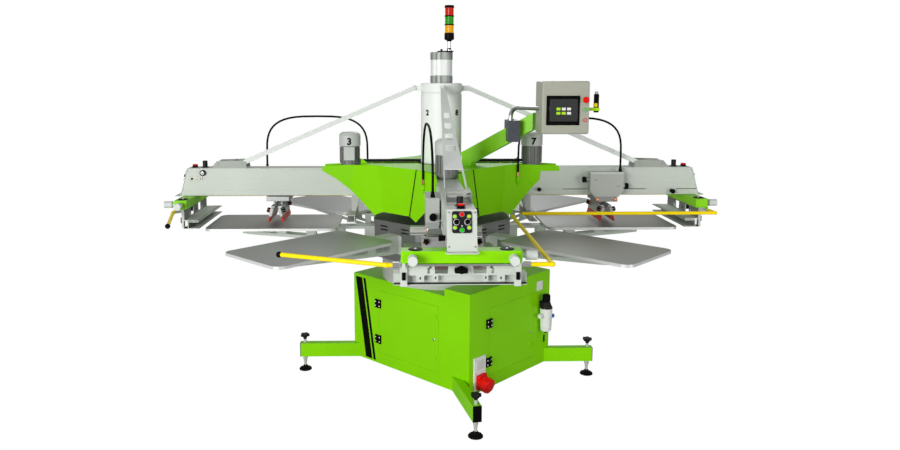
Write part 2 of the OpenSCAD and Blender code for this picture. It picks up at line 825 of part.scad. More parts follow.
bracket_l = 181;
module strut_bracket() {
    half = strut_half_low + 1.5;
    rise = strut_foot_z - beam_top;
    color(colour_pale) translate([strut_foot_x, 0, beam_top]) {
        for (side = [-1, 1]) across(side > 0 ? half : -half - strut_t, side > 0 ? half + strut_t : -half)
            polygon([[-36, 0], [bracket_l, 0], [bracket_l, 16], [bracket_l - 27, rise + 17],
                [0, rise + 21], [-30, rise + 11]]);
        box_at([34, -half, 0], [bracket_l, half, strut_t]);
        box_at([54, -half, rise + 13], [bracket_l - 37, half, rise + 13 + strut_t]);
        for (x = [0, bracket_l - 31]) translate([x, half + 8, rise]) rotate([90, 0, 0])
            cylinder(r = strut_pin_r, h = 2 * half + 16);
    }
}

module strut_brackets() {
    every_head() strut_bracket();
}

// Drive motor standing on its beam: flange, finned body, terminal box, fan cowl
module drive_motor() {
    r = motor_d / 2;
    body = 0.5 * motor_h;
    translate([motor_r, 0, beam_top]) {
        cylinder(r = r - 14, h = 26);
        translate([0, 0, 10]) cylinder(r = beam_w / 2 - 3, h = 8);
        translate([0, 0, 26]) cylinder(r = r - 10, h = body);
        for (a = [-160 : 20 : 160]) rotate([0, 0, a]) box_at([r - 14, -1.5, 30], [r - 2, 1.5, 20 + body]);
        translate([0, 0, 26 + body]) rotate_extrude() polygon([[0, 0], [r, 0],
            [r, motor_h - body - 46], [r - 8, motor_h - body - 32], [r - 24, motor_h - body - 26],
            [0, motor_h - body - 26]]);
        box_at([-34, r - 12, 52], [34, r + 14, 46 + 0.8 * body]);
    }
}

module drive_motors() {
    color(colour_grey) every_head() drive_motor();
}

// Ribbed conduits from the column to the motors
module motor_conduits() {
    start = shell_r + slip;
    run = motor_r - motor_d / 2 + 10 - slip - start;
    count = floor(run / 16);
    pitch = run / count;
    r = conduit_d / 2;
    color(colour_grey) every_head() translate([start, 0, beam_top + 43]) rotate([0, 90, 0])
        rotate_extrude($fn = 24) polygon(concat([[r - 4, run], [r - 4, 0]],
            [for (k = [0 : count - 1]) each [[r - 1.5, k * pitch], [r - 1.5, (k + 0.3) * pitch],
                [r, (k + 0.45) * pitch], [r, (k + 0.85) * pitch]]], [[r - 1.5, run]]));
}

// Covers between the heads, in the frame of the head that they follow. Each
// wing leaves the corner panel in one plane and is then folded along its beam
wing_slope = 0.66;
fold_x = (panel_x + panel_half) * cos(45);
fold_y = (panel_x - panel_half) * cos(45);
fold_low_x = (panel_x + 8 + panel_low_w / 2) * cos(45);
fold_low_y = (panel_x + 8 - panel_low_w / 2) * cos(45);
wing_lean = (fold_low_y - fold_y - wing_slope * (fold_x - fold_low_x)) / (plate_top - panel_z);
beam_side = beam_w / 2 + slip;
wing_end = 765;
wing_low = panel_z - 26;
wing_rise = beam_top - 17 - wing_low;
function wing_y(x, z) = max(beam_side, fold_y - (x - fold_x) * wing_slope + (plate_top - z) * wing_lean);
function crease_x(z) = fold_x + (fold_y - beam_side + (plate_top - z) * wing_lean) / wing_slope;
function swap(points) = [for (p = points) [p[1], p[0], p[2]]];
function wing_point(x, z) = [x, wing_y(x, z), z];
function crease_point(z) = [crease_x(z), beam_side, z];
function arch_point(t) = wing_point(fold_x + 28 + (wing_end - fold_x - 28) * t,
    wing_low + wing_rise * (1 - pow(1 - t, 1.25)));

module wing_plate(outline, shift, swapped) {
    sheet(swapped ? swap(outline) : outline, shift);
}

module bay_cover() {
    shift = [sheet_t, sheet_t, 0] * cos(45);
    top_a = [fold_x, fold_y, plate_top];
    low_a = [fold_low_x, fold_low_y, panel_z];
    brow = plate_top - 8;
    arch_fold = wing_low + 142;
    slant_fold = wing_low + 153;
    sheet([top_a, low_a, swap([low_a])[0], swap([top_a])[0]], shift);
    wing_plate([top_a, low_a, arch_point(0), arch_point(0.25), crease_point(arch_fold), crease_point(brow)],
        shift, false);
    wing_plate([crease_point(brow), crease_point(arch_fold), arch_point(0.5), arch_point(0.75), arch_point(1),
        wing_point(wing_end, beam_top + 12), wing_point(wing_end - 145, brow)], shift, false);
    wing_plate([top_a, crease_point(brow), crease_point(slant_fold), arch_point(0), low_a], shift, true);
    wing_plate([crease_point(brow), wing_point(wing_end - 6, beam_top + 14),
        wing_point(wing_end - 6, beam_top - 22), wing_point(wing_end - 125, beam_top - 22),
        wing_point(wing_end - 133, beam_top - 80),
        crease_point(slant_fold)], shift, true);
    far = fold_x + 118;
    near = wing_y(far, plate_top) + 0.6;
    e = 1.2;
    translate([0, 0, plate_top - sheet_t]) linear_extrude(sheet_t) polygon([[112, 112], [150, 42],
        [far, 42], [far, near], [fold_x + e, fold_y + e], [fold_y + e, fold_x + e],
        [near, far], [42, far], [42, 150]]);
    across(56, 56 + sheet_t) polygon([[far - 50, plate_top - 1], [far - 1, plate_top - 1],
        [far - 1, plate_top + 36]]);
    translate([-hose_from[1], hose_from[0], hose_from[2] - 80])
        rotate_extrude() polygon([[0, 0], [4, 0], [13, 26], [13, 50], [0, 50]]);
}

module bay_covers() {
    color(colour_green) every_head() bay_cover();
}

// Screen clamps at the outer end of a head
module cross_bars() {
    color(colour_green) every_head() difference() {
        box_at([bar_in, -bar_l / 2, bar_low], [bar_reach, bar_l / 2, bar_top]);
        for (side = [-1, 1]) translate([bar_reach, side * bar_l / 2, bar_top - bar_h / 2])
            rotate([0, 0, 45]) cube([12, 12, bar_h + 2], center = true);
    }
}

module register_knob() {
    cylinder(r = 12, h = 21);
    translate([0, 0, 20]) cylinder(r = 21, h = 49);
}

module register_knobs() {
    color(colour_white) every_head() {
        for (y = [-216, 222]) translate([bar_reach, y, bar_low + 24]) rotate([0, 90, 0]) register_knob();
        translate([bar_in + 38, bar_l / 2, bar_low + 25]) rotate([-90, 0, 0]) register_knob();
    }
}

plate_half = bar_l / 2 + 4;
ear_y = plate_half - 16;
shelf_z = channel_low + channel_h;
module screen_holder() {
    face = channel_reach + 27;
    difference() {
        union() {
            box_at([face, -plate_half, shelf_z], [face + 4, plate_half, bar_low]);
            for (tab = [[-180, 17], [-112, 11], [112, 11], [180, 17]])
                box_at([face, tab[0] - tab[1], shelf_z - 28], [face + 4, tab[0] + tab[1], shelf_z + 1]);
        }
        for (side = [-1, 1]) translate([face - 1, side * 86, shelf_z + 8]) rotate([90, 0, 90])
            linear_extrude(6) polygon([[-32, 50], [32, 50], [28, 0], [-28, 0]]);
        for (y = [-143, 143]) box_at([face - 1, y - 5.5, shelf_z + 8], [face + 5, y + 5.5, shelf_z + 34]);
    }
    box_at([channel_in + 14, -plate_half, shelf_z], [face, plate_half, shelf_z + 4]);
    for (side = [-1, 1]) difference() {
        box_at([face + 3, side * ear_y - 7, bar_low - 24], [safety_x + 14, side * ear_y + 7, bar_low]);
        translate([safety_x, side * ear_y + 8, safety_z]) rotate([90, 0, 0])
            cylinder(r = shaft_r + fit, h = 16);
    }
    box_at([bar_in + 6, -44, bar_top], [bar_reach - 6, 44, beam_z]);
}

module screen_holders() {
    color(colour_pale) every_head() screen_holder();
}

module screen_channel() {
    half = channel_l / 2;
    across(-half, half) polygon([[channel_in, channel_low], [channel_reach, channel_low],
        [channel_reach, shelf_z], [channel_in, shelf_z], [channel_in, shelf_z - channel_t],
        [channel_reach - channel_t, shelf_z - channel_t], [channel_reach - channel_t, channel_low + channel_t],
        [channel_in, channel_low + channel_t]]);
}

module screen_channels() {
    color(colour_pale) every_head() screen_channel();
}

module inner_bracket() {
    low = channel_low + 20;
    high = low + channel_h;
    across(-210, 210) polygon([[inner_x, low], [inner_x + 52, low], [inner_x + 52, low + channel_t],
        [inner_x + channel_t, low + channel_t], [inner_x + channel_t, high - channel_t],
        [inner_x + 52, high - channel_t], [inner_x + 52, high], [inner_x, high]]);
    for (side = [-1, 1]) {
        across(side * 46 - 12, side * 46 + 12) polygon([[inner_x + 2, high], [inner_x + 30, high],
            [inner_x + 30, beam_z], [inner_x - 20, beam_z], [inner_x - 20, beam_z - 20]]);
    }
}

module inner_brackets() {
    color(colour_grey) every_head() inner_bracket();
}

// Carriage beside its beam, with a yoke below that carries the blade holders
rod_top = yoke_top - yoke_t + 7;
yoke_half = 68;
module carriage() {
    y1 = -car_y;
    y0 = y1 - carriage_t;
    half = carriage_l / 2;
    top = beam_top - 23;
    translate([carriage_x, 0, 0]) difference() {
        union() {
            across(y0, y1) polygon([[12 - half, beam_z + 8], [-half, beam_z + 22], [-half, top], [half, top],
                [half, beam_z + 22], [half - 12, beam_z + 8], [yoke_half, beam_z + 8],
                [yoke_half, yoke_top - yoke_t], [-yoke_half, yoke_top - yoke_t], [-yoke_half, beam_z + 8]]);
            box_at([-yoke_half - 5, y1 - 1, yoke_top - yoke_t], [yoke_half + 5, 66, yoke_top]);
            for (z = [beam_z + 30, top - 14])
                box_at([10 - half, y1 - 1, z], [half - 10, y1 + carriage_gap - slip, z + 12]);
            translate([-half + 1, (y0 + y1) / 2, top - 50]) rotate([0, -90, 0]) cylinder(r = 14, h = 34);
            translate([half - 1, (y0 + y1) / 2, top - 92]) rotate([0, 90, 0]) cylinder(r = 14, h = 38);
            translate([hose_to[0] - carriage_x, hose_to[1], top - 1])
                cylinder(r = 11, h = hose_to[2] - top + 1);
        }
        for (side = [-1, 1], y = [-40, 40]) {
            translate([side * rod_pitch / 2, y, yoke_top - yoke_t - 1])
                cylinder(r = rod_r + fit, h = yoke_t - 1);
        }
    }
}

module carriage_1() color(colour_pale) at_head(1) carriage();
module carriage_3() color(colour_pale) at_head(3) carriage();
module carriage_5() color(colour_pale) at_head(5) carriage();
module carriage_7() color(colour_pale) at_head(7) carriage();

// Blade holder: two lifting rods, a head bar, a leaning clamp and the blade
module blade_unit(side) {
    hang = yoke_top - yoke_t - blade_stroke - 2;
    clamp_top = tip_z + (blade_h + 46) * lean[1];
    translate([carriage_x + side * rod_pitch / 2, 0, 0]) {
        for (y = [-40, 40]) translate([0, y, hang - 10]) cylinder(r = rod_r, h = rod_top - hang + 10);
        box_at([-11, -blade_l / 2 + 30, clamp_top - 6], [11, blade_l / 2 - 30, hang]);
        translate([0, 0, clamp_top]) rotate([0, -side * blade_lean, 0]) {
            box_at([-blade_t / 2 - 4, -blade_l / 2, -46], [blade_t / 2 + 4, blade_l / 2, 4]);
            for (y = [-blade_l / 2 + 24, blade_l / 2 - 24]) {
                translate([side * (blade_t / 2 + 3), y, -14]) rotate([0, side * 90, 0])
                    cylinder(r = 13, h = 20);
            }
        }
    }
}

module blade(side) {
    clamp_top = tip_z + (blade_h + 46) * lean[1];
    translate([carriage_x + side * rod_pitch / 2, 0, clamp_top]) rotate([0, -side * blade_lean, 0])
        box_at([-blade_t / 2, -blade_l / 2, -46 - blade_h], [blade_t / 2, blade_l / 2, -46]);
}

module squeegee(station) {
    at_head(station) {
        color(colour_grey) blade_unit(1);
        color(colour_red) blade(1);
    }
}

module flood_bar(station) {
    at_head(station) {
        color(colour_grey) blade_unit(-1);
        color(colour_red) blade(-1);
    }
}

module squeegee_1() squeegee(1);
module squeegee_3() squeegee(3);
module squeegee_5() squeegee(5);
module squeegee_7() squeegee(7);
module flood_bar_1() flood_bar(1);
module flood_bar_3() flood_bar(3);
module flood_bar_5() flood_bar(5);
module flood_bar_7() flood_bar(7);

// Safety bars of one head on their cross shaft; the loading side has short ones
module long_bar(side) {
    r = safety_d / 2;
    translate([safety_x, side * safety_y, safety_z]) {
        sphere(r = 1.2 * r);
        rotate([0, -90, 0]) cylinder(r = r, h = safety_l);
        rotate([side * 90, 0, 0]) cylinder(r = r, h = safety_y - plate_half - 32);
    }
}

module short_bar(side, len, swing) {
    r = safety_d / 2;
    translate([safety_x, side * (plate_half + 62), safety_z]) {
        sphere(r = 1.2 * r);
        rotate([side * 90, 0, 0]) cylinder(r = r, h = 30);
        rotate([0, 0, side * swing]) rotate([-side * 90, 0, 0]) {
            cylinder(r = r, h = len);
            translate([0, 0, len]) sphere(r = 1.4 * r);
        }
    }
}

module safety_bars(station) {
    color(colour_yellow) at_head(station) {
        translate([safety_x, plate_half + 32, safety_z]) rotate([90, 0, 0]) {
            cylinder(r = shaft_r, h = 2 * plate_half + 64);
            for (z = [0, 2 * plate_half + 34]) translate([0, 0, z]) cylinder(r = 13, h = 30);
        }
        if (station == 3) short_bar(1, safety_stub, 13);
        else long_bar(1);
        if (station == 1) short_bar(-1, safety_short, 23);
        else long_bar(-1);
    }
}

module safety_bars_1() safety_bars(1);
module safety_bars_3() safety_bars(3);
module safety_bars_5() safety_bars(5);
module safety_bars_7() safety_bars(7);

module air_hose(station) {
    color(colour_dark) at_head(station) swept_tube(hose_route, hose_d, 10);
}

module air_hose_1() air_hose(1);
module air_hose_3() air_hose(3);
module air_hose_5() air_hose(5);
module air_hose_7() air_hose(7);

// Green arm that carries the control box, with its dark clamp
module mast_frame() {
    translate([mast_x, mast_y, plate_top]) rotate([0, 0, mast_turn]) children();
}

clamp_low = 1586;
clamp_high = 1712;
tube_seat = 18;
module control_arm() {
    rise = tan(mast_tilt);
    deep = mast_s / cos(mast_tilt);
    half = mast_s / 2;
    color(colour_green) mast_frame() across(-half, half) polygon([[-half, 0], [half, 0],
        [half, 70 + half * rise - deep + 44 * rise], [440, 70 + (440 + half) * rise - deep],
        [440, 70 + (440 + half) * rise], [-half, 70]]);
    color(colour_dark) difference() {
        box_at([swing_x - 25, swing_y - 75, clamp_low], [swing_x + 46, swing_y + 90, clamp_high]);
        mast_frame() across(-half - 0.2, half + 0.2) polygon([[0, 69.8 + half * rise - deep],
            [440, 69.8 + (440 + half) * rise - deep], [440, 70.2 + (440 + half) * rise],
            [0, 70.2 + half * rise]]);
        translate([swing_x, swing_y, clamp_high - tube_seat - 1]) cylinder(r = tube_r + fit, h = tube_seat + 2);
    }
}

// Bent tube: rises from the clamp, then turns towards the side of the box
tube_z = box_z + 142;
module swivel_tube() {
    bend = 55;
    reach_y = box_y - box_d / 2;
    turn = atan2(reach_y - swing_y, box_x - swing_x);
    run = norm([reach_y - swing_y, box_x - swing_x]);
    color(colour_grey) translate([swing_x, swing_y, 0]) {
        translate([0, 0, clamp_high - tube_seat])
            cylinder(r = tube_r, h = tube_z - bend - clamp_high + tube_seat);
        translate([0, 0, clamp_high]) cylinder(r = tube_r + 7, h = 10);
        rotate([0, 0, turn]) translate([bend, 0, tube_z - bend]) rotate([90, 0, 0])
            rotate([0, 0, 84]) rotate_extrude(angle = 102) translate([bend, 0]) circle(r = tube_r + 1);
    }
    color(colour_grey) difference() {
        translate([swing_x, swing_y, tube_z]) rotate([0, 0, turn]) translate([bend, 0, 0]) rotate([0, 90, 0])
            cylinder(r = tube_r, h = run - bend + 20);
        box_at([box_x - 5, box_y - box_d - 10, box_z], [box_x + box_w, box_y + 10, box_z + box_h]);
    }
    color(colour_grey) box_at([box_x - 5, reach_y - 34, tube_z - 26], [box_x, reach_y + 34, tube_z + 26]);
}

stop_x = box_x + box_w - 26;
stop_z = box_z + 195;
module control_box() {
    front = box_y - box_d;
    color(colour_pale) difference() {
        union() {
            translate([box_x, 0, 0]) rotate([90, 0, 90]) linear_extrude(box_w) polygon([
                [box_y, box_z], [front + 8, box_z], [front + 8, box_z + box_h - 26], [front, box_z + box_h - 24],
                [front, box_z + box_h], [box_y, box_z + box_h - 16]]);
            box_at([box_x + 12, front + 2, box_z + 48], [box_x + 222, front + 9, box_z + 226]);
            box_at([box_x + 42, front, box_z + 80], [box_x + 194, front + 3, box_z + 192]);
            for (z = [box_z + 98, box_z + 145]) translate([stop_x + 4, front + 9, z]) rotate([90, 0, 0])
                cylinder(r = 11, h = 12);
            box_at([box_x + box_w - 1, front + 60, box_z + 122], [box_x + box_w + 58, front + 84, box_z + 138]);
            box_at([box_x + box_w + 30, front + 64, box_z + 110], [box_x + box_w + 48, front + 80, box_z + 234]);
        }
        translate([stop_x, front + 30, stop_z]) rotate([90, 0, 0]) cylinder(r = 8 + fit, h = 40);
    }
}

module stop_button() {
    front = box_y - box_d + 8;
    color(colour_red) translate([stop_x, front, stop_z]) rotate([90, 0, 0]) {
        translate([0, 0, -14]) cylinder(r = 8, h = 26);
        translate([0, 0, 8]) cylinder(r1 = 15, r2 = 20, h = 8);
        translate([0, 0, 16]) cylinder(r1 = 20, r2 = 14, h = 6);
    }
}

base_cabinet();
door_left();
door_right();
door_hinges();
leg_tubes();
leg_end_caps();
foot_left();
foot_right();
foot_front();
foot_rear();
power_inlet();
air_regulator();
regulator_knob();
drum_housing();
centre_column();
column_shell();
strut_collar();
lift_cylinder();
lift_sleeve();
carousel_hub();
pallet_arms();
pallet_boards();
head_beams();
beam_end_plates();
beam_fittings();
head_struts();
strut_brackets();
drive_motors();
motor_conduits();
bay_covers();
cross_bars();
register_knobs();
screen_holders();
screen_channels();
inner_brackets();
carriage_1();
carriage_3();
carriage_5();
carriage_7();
squeegee_1();
squeegee_3();
squeegee_5();
squeegee_7();
flood_bar_1();
flood_bar_3();
flood_bar_5();
flood_bar_7();
safety_bars_1();
safety_bars_3();
safety_bars_5();
safety_bars_7();
air_hose_1();
air_hose_3();
air_hose_5();
air_hose_7();
control_arm();
swivel_tube();
control_box();
stop_button();
signal_tower();
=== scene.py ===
# %% [markdown]
# # A carousel screen printing press
# The machine prints shirts: eight pallets carry them round a hub from one print head to the next.
# The CAD model already holds every moving piece in its place. This notebook loads it as a fixed frame,
# then adds what paint, plastic, glass and small fittings bring. A few CAD pieces are replaced by closer ones.
# All sizes below are in metres.

# %% Load the frame
from math import atan, copysign, cos, pi, radians, sin

import bpy
from mathutils import Matrix, Vector


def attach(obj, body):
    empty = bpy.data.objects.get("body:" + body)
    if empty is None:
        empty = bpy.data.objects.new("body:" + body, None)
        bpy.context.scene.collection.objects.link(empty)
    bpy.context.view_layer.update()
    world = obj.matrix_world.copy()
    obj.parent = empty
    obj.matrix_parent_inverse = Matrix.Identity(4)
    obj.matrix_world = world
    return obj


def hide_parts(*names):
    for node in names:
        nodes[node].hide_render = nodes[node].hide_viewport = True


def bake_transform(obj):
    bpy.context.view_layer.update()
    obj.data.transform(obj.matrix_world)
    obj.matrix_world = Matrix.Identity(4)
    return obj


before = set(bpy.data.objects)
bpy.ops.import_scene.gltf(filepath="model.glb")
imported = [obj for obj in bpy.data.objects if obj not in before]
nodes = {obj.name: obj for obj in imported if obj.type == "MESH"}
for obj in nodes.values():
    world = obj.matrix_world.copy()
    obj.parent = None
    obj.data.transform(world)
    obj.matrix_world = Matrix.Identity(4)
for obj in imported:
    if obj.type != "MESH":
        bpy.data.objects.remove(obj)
scene = bpy.context.scene
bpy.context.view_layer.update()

# %% [markdown]
# ## The camera
# The photograph was taken from the operator's side, a little above head height, with a moderate wide lens.
# Its place and lens were found by fitting the pallets, heads and feet to the picture.

# %% Camera
WIDTH_PIXELS, FOCAL_PIXELS, SENSOR_MM = 900, 744.138, 36
TILT_DOWN, TURN_RIGHT = 7.606, 1.279
lens = bpy.data.cameras.new("camera")
lens.sensor_width = SENSOR_MM
lens.lens = FOCAL_PIXELS / WIDTH_PIXELS * SENSOR_MM
lens.shift_x, lens.shift_y = 0.03767, -0.05
lens.clip_end = 60
camera = bpy.data.objects.new("camera", lens)
camera.location = (-0.2704, -4.8237, 1.9482)
camera.rotation_euler = (radians(90 - TILT_DOWN), 0, radians(-TURN_RIGHT))
scene.collection.objects.link(camera)
scene.camera = camera
print("lens", round(lens.lens, 2), "mm")

# %% [markdown]
# ## Shader sums in plain Python
# A material is a small sum over the surface. Wrapping a socket in a class lets the sum be written as an
# expression, and each operator adds the Math node that does it. Each finish also knows its usual slot, which
# names its kind of material.


# %% A class for shader values
def operator(operation):
    """A method that adds one Math node to its own tree."""
    return lambda self, *others: self.shading.node(
        "ShaderNodeMath", {"operation": operation}, dict(enumerate((self, *others))))


class Value:
    """One output socket; the usual operators add Math nodes."""
    __add__, __sub__, __mul__ = operator("ADD"), operator("SUBTRACT"), operator("MULTIPLY")
    __gt__, __lt__ = operator("GREATER_THAN"), operator("LESS_THAN")
    __abs__, wave = operator("ABSOLUTE"), operator("SINE")
    larger, smaller = operator("MAXIMUM"), operator("MINIMUM")

    def __init__(self, shading, socket):
        self.shading, self.socket = shading, socket

    def __rsub__(self, number):
        return self * -1 + number


print("shader sums ready")


# %% Classes for node trees and finishes
class Shading:
    """A node tree, with a short way to add a node and feed it."""

    def __init__(self, tree):
        self.tree = tree

    def feed(self, inputs, name, value):
        if isinstance(value, Value):
            self.tree.links.new(value.socket, inputs[name])
        else:
            inputs[name].default_value = value

    def node(self, kind, settings=None, inputs=None, output=0):
        made = self.tree.nodes.new(kind)
        for name, value in (settings or {}).items():
            setattr(made, name, value)
        for name, value in (inputs or {}).items():
            self.feed(made.inputs, name, value)
        return Value(self, made.outputs[output])


class Finish(Shading):
    """A procedural material on one Principled shader, with its usual slot."""

    def __init__(self, name, colour, roughness, slot="black_plastic", **constants):
        self.material = bpy.data.materials.new(name)
        self.material.use_nodes = True
        super().__init__(self.material.node_tree)
        self.shader, self.slot = self.tree.nodes["Principled BSDF"], slot
        self.set("Base Color", (*colour, 1))
        self.set("Roughness", roughness)
        for socket, value in constants.items():
            self.set(socket.replace("_", " "), value)

    def set(self, socket, value):
        self.feed(self.shader.inputs, socket, value)

    def place(self, kind="Object"):
        return self.node("ShaderNodeTexCoord", output=kind)

    def axes(self, kind="Object"):
        split = self.tree.nodes.new("ShaderNodeSeparateXYZ")
        self.tree.links.new(self.place(kind).socket, split.inputs[0])
        return [Value(self, output) for output in split.outputs]

    def noise(self, scale, detail=2.0, stretch=(1, 1, 1)):
        spot = self.node("ShaderNodeMapping", None, {"Vector": self.place(), "Scale": stretch})
        return self.node("ShaderNodeTexNoise", None, {"Vector": spot, "Scale": scale, "Detail": detail})

    def mix(self, share, first, second):
        """The Mix node's colour sockets are inputs 6 and 7, and its colour output is 2."""
        sides = {0: share, 6: first, 7: second}
        for key in (6, 7):
            if not isinstance(sides[key], Value):
                sides[key] = (*sides[key], 1)
        return self.node("ShaderNodeMix", {"data_type": "RGBA"}, sides, output=2)

    def colours(self, share, first, second):
        self.set("Base Color", self.mix(share, first, second))

    def gloss(self, middle, spread=0.12, cloud=None):
        """Roughness that follows a noise, half the spread to each side of its middle."""
        self.set("Roughness", (cloud or self.noise(24)) * spread + (middle - spread / 2))

    def bump(self, height, strength, distance=0.0002):
        self.set("Normal", self.node("ShaderNodeBump", None, {
            "Height": height, "Strength": strength, "Distance": distance}))


print("shader helpers ready")

# %% [markdown]
# ## Paints
# The sheet metal is powder coated. Powder coat melts into a skin with a fine orange peel and a slow drift in
# gloss. So each paint is one colour with a small drift, a cloud in its roughness and one fine bump.


# %% Powder coat
def shade(colour, factor):
    return tuple(min(1, channel * factor) for channel in colour)


def powder_coat(name, colour, roughness, drift=0.08, peel=0.12, slot="pale_paint"):
    finish = Finish(name, colour, roughness, slot, Specular_IOR_Level=0.16)
    cloud = finish.noise(3.2, 3)
    finish.colours(cloud, shade(colour, 1 - drift), shade(colour, 1 + drift))
    finish.gloss(roughness)
    finish.bump(finish.noise(900, 1), peel)
    return finish


green = powder_coat("green paint", (0.23, 0.66, 0.0), 0.34)
pale = powder_coat("pale green-grey paint", (0.56, 0.6, 0.545), 0.4)
box_grey = powder_coat("control box grey", (0.385, 0.39, 0.32), 0.36)
white = powder_coat("white paint", (0.84, 0.865, 0.84), 0.32, 0.03)
strut_white = powder_coat("strut paint", (0.7, 0.735, 0.7), 0.34, 0.02, 0.02)
cast_grey = powder_coat("cast grey paint", (0.47, 0.49, 0.45), 0.42, 0.12, 0.3)
carriage_grey = powder_coat("carriage grey", (0.43, 0.45, 0.42), 0.36, 0.1)
bracket_grey = powder_coat("bracket grey", (0.35, 0.375, 0.335), 0.36, 0.16)
yellow = powder_coat("yellow paint", (1.0, 0.72, 0.0), 0.34, slot="yellow_paint")
print("paints:", len(bpy.data.materials))

# %% [markdown]
# ## Metals
# Pallets are anodised aluminium plates with a darker rubbed top and a bright extruded edge. The tops are
# seen at a low angle, so the colour comes from a mask on the surface normal, and a stretched noise gives
# the fine rolling lines. Steel bars and the hub get their streaks in the same way; the lift cylinder's are
# painted reflections.


# %% Metals
def metal(name, colour, roughness, streak=(1, 1, 1), scale=180, depth=0.05):
    finish = Finish(name, colour, roughness, "steel", Metallic=1.0)
    lines = finish.noise(scale, 3, streak)
    finish.gloss(roughness, 0.18, lines)
    finish.colours(lines, shade(colour, 0.82), colour)
    finish.bump(lines, depth)
    return finish


steel = metal("turned steel", (0.62, 0.63, 0.63), 0.28, (1, 1, 8))
chrome = metal("bright cylinder steel", (0.78, 0.79, 0.79), 0.12, (1, 1, 0.05), 60)
brass = metal("brass fitting", (0.8, 0.42, 0.16), 0.3)
dark_steel = metal("blackened steel", (0.16, 0.16, 0.17), 0.35)
hub_steel = metal("hub plate", (0.34, 0.35, 0.34), 0.42, (1, 1, 6), 40)
FACING_UP = 0.7


def pallet_metal():
    finish = Finish("anodised pallet", (0.25, 0.26, 0.25), 0.36, Metallic=0.35)
    upward = finish.axes("Normal")[2] > FACING_UP
    lines = finish.noise(70, 4, (1, 1, 0.2))
    rubbed = finish.mix(lines, (0.265, 0.276, 0.264), (0.325, 0.336, 0.322))
    finish.colours(upward, (0.7, 0.71, 0.7), rubbed)
    finish.gloss(0.39, 0.14, lines)
    finish.bump(lines, 0.04)
    return finish


pallet_skin = pallet_metal()
print("materials now:", len(bpy.data.materials))

# %% [markdown]
# ## Plastics, rubber and glass
# Moulded knobs have a fine grain, buttons are smooth and coloured through, and hoses are matt. The lamp
# lenses get a painted glow, and painted shade darkens them between their ribs.


# %% Plastics
def plastic(name, colour, roughness, grain=0.15, slot="black_plastic", **constants):
    constants.setdefault("Specular_IOR_Level", 0.18)
    finish = Finish(name, colour, roughness, slot, **constants)
    finish.gloss(roughness, 0.14, finish.noise(40))
    finish.colours(finish.noise(9), shade(colour, 0.9), colour)
    finish.bump(finish.noise(1500, 1), grain)
    return finish


black = plastic("black moulding", (0.0015, 0.0015, 0.0015), 0.45, Specular_IOR_Level=0.07)
soft_black = plastic("grey-black moulding", (0.009, 0.009, 0.01), 0.5)
rubber = plastic("black rubber", (0.003, 0.003, 0.003), 0.62, 0.3, "black_rubber", Specular_IOR_Level=0.07)
red = plastic("red moulding", (0.76, 0.004, 0.003), 0.28, 0.05, "red_plastic")
orange = plastic("orange ring", (0.8, 0.21, 0.02), 0.4, slot="red_plastic")
knob_white = plastic("pale knob", (0.64, 0.68, 0.64), 0.34, 0.1, "white_plastic")
lime = plastic("lime button", (0.42, 0.78, 0.01), 0.3, 0.05)
go_green = plastic("green button", (0.005, 0.52, 0.02), 0.3, 0.05)
blue = plastic("blue handle", (0.01, 0.15, 0.52), 0.35)
label_white = plastic("white plate", (0.8, 0.8, 0.79), 0.4, 0.05, "white_plastic")
screen_glass = plastic("dark display", (0.03, 0.032, 0.032), 0.12, 0.0, Coat_Weight=0.6)
gauge_glass = plastic("gauge face", (0.62, 0.64, 0.63), 0.15, 0.0, "white_plastic", Coat_Weight=0.8)
RIBS_PER_METRE = 1800


def lens_plastic(name, colour, glow):
    finish = Finish(name, colour, 0.25, "lamp_plastic", Specular_IOR_Level=0.2, Coat_Weight=0.1,
                    Emission_Strength=glow)
    # Painted shade between the ribs; the emission below is a painted glow in the same colour.
    ribs = (finish.axes()[2] * RIBS_PER_METRE).wave() * 0.5 + 0.5
    lit = finish.mix(ribs, shade(colour, 0.45), colour)
    finish.set("Base Color", lit)
    finish.set("Emission Color", lit)
    finish.bump(ribs, 0.3, 0.0005)
    return finish


# The last number is the strength of each lens's painted glow.
lamp_red = lens_plastic("red lens", (0.72, 0.016, 0.0), 0.12)
lamp_amber = lens_plastic("amber lens", (0.95, 0.43, 0.0), 0.2)
lamp_green = lens_plastic("green lens", (0.025, 0.38, 0.0), 0.1)
clear_bowl = Finish("clear bowl", (0.72, 0.75, 0.74), 0.12, "steel", Coat_Weight=0.5)
print("materials now:", len(bpy.data.materials))

# %% [markdown]
# ## A finish for each CAD node
# The nodes whose shape is right stay, and only their material slots change. Where one solid holds two
# finishes, such as a blade in its clamp, a mask on height, on place or on facing parts them.


# %% Two finishes on one solid
CLAMP_EDGE_Z = 1.0946
BARREL_Z = (1.981, 2.08)
MOTOR_X, COWL_Z, MOTOR_RADIUS_SQUARED = 0.592, 1.5308, 0.0047
TOWARDS_HUB = -1.3


def blade_unit_finish():
    """A metal clamp above, a red blade below its edge."""
    finish = Finish("clamp and blade", (0.5, 0.5, 0.5), 0.35, Specular_IOR_Level=0.15)
    below = finish.axes()[2] < CLAMP_EDGE_Z
    lines = finish.noise(160, 2)
    finish.colours(below, (0.4, 0.41, 0.4), (0.5, 0.018, 0.006))
    finish.set("Metallic", (1 - below) * 0.55)
    finish.gloss(0.36, 0.12, lines)
    finish.bump(lines, 0.05)
    return finish


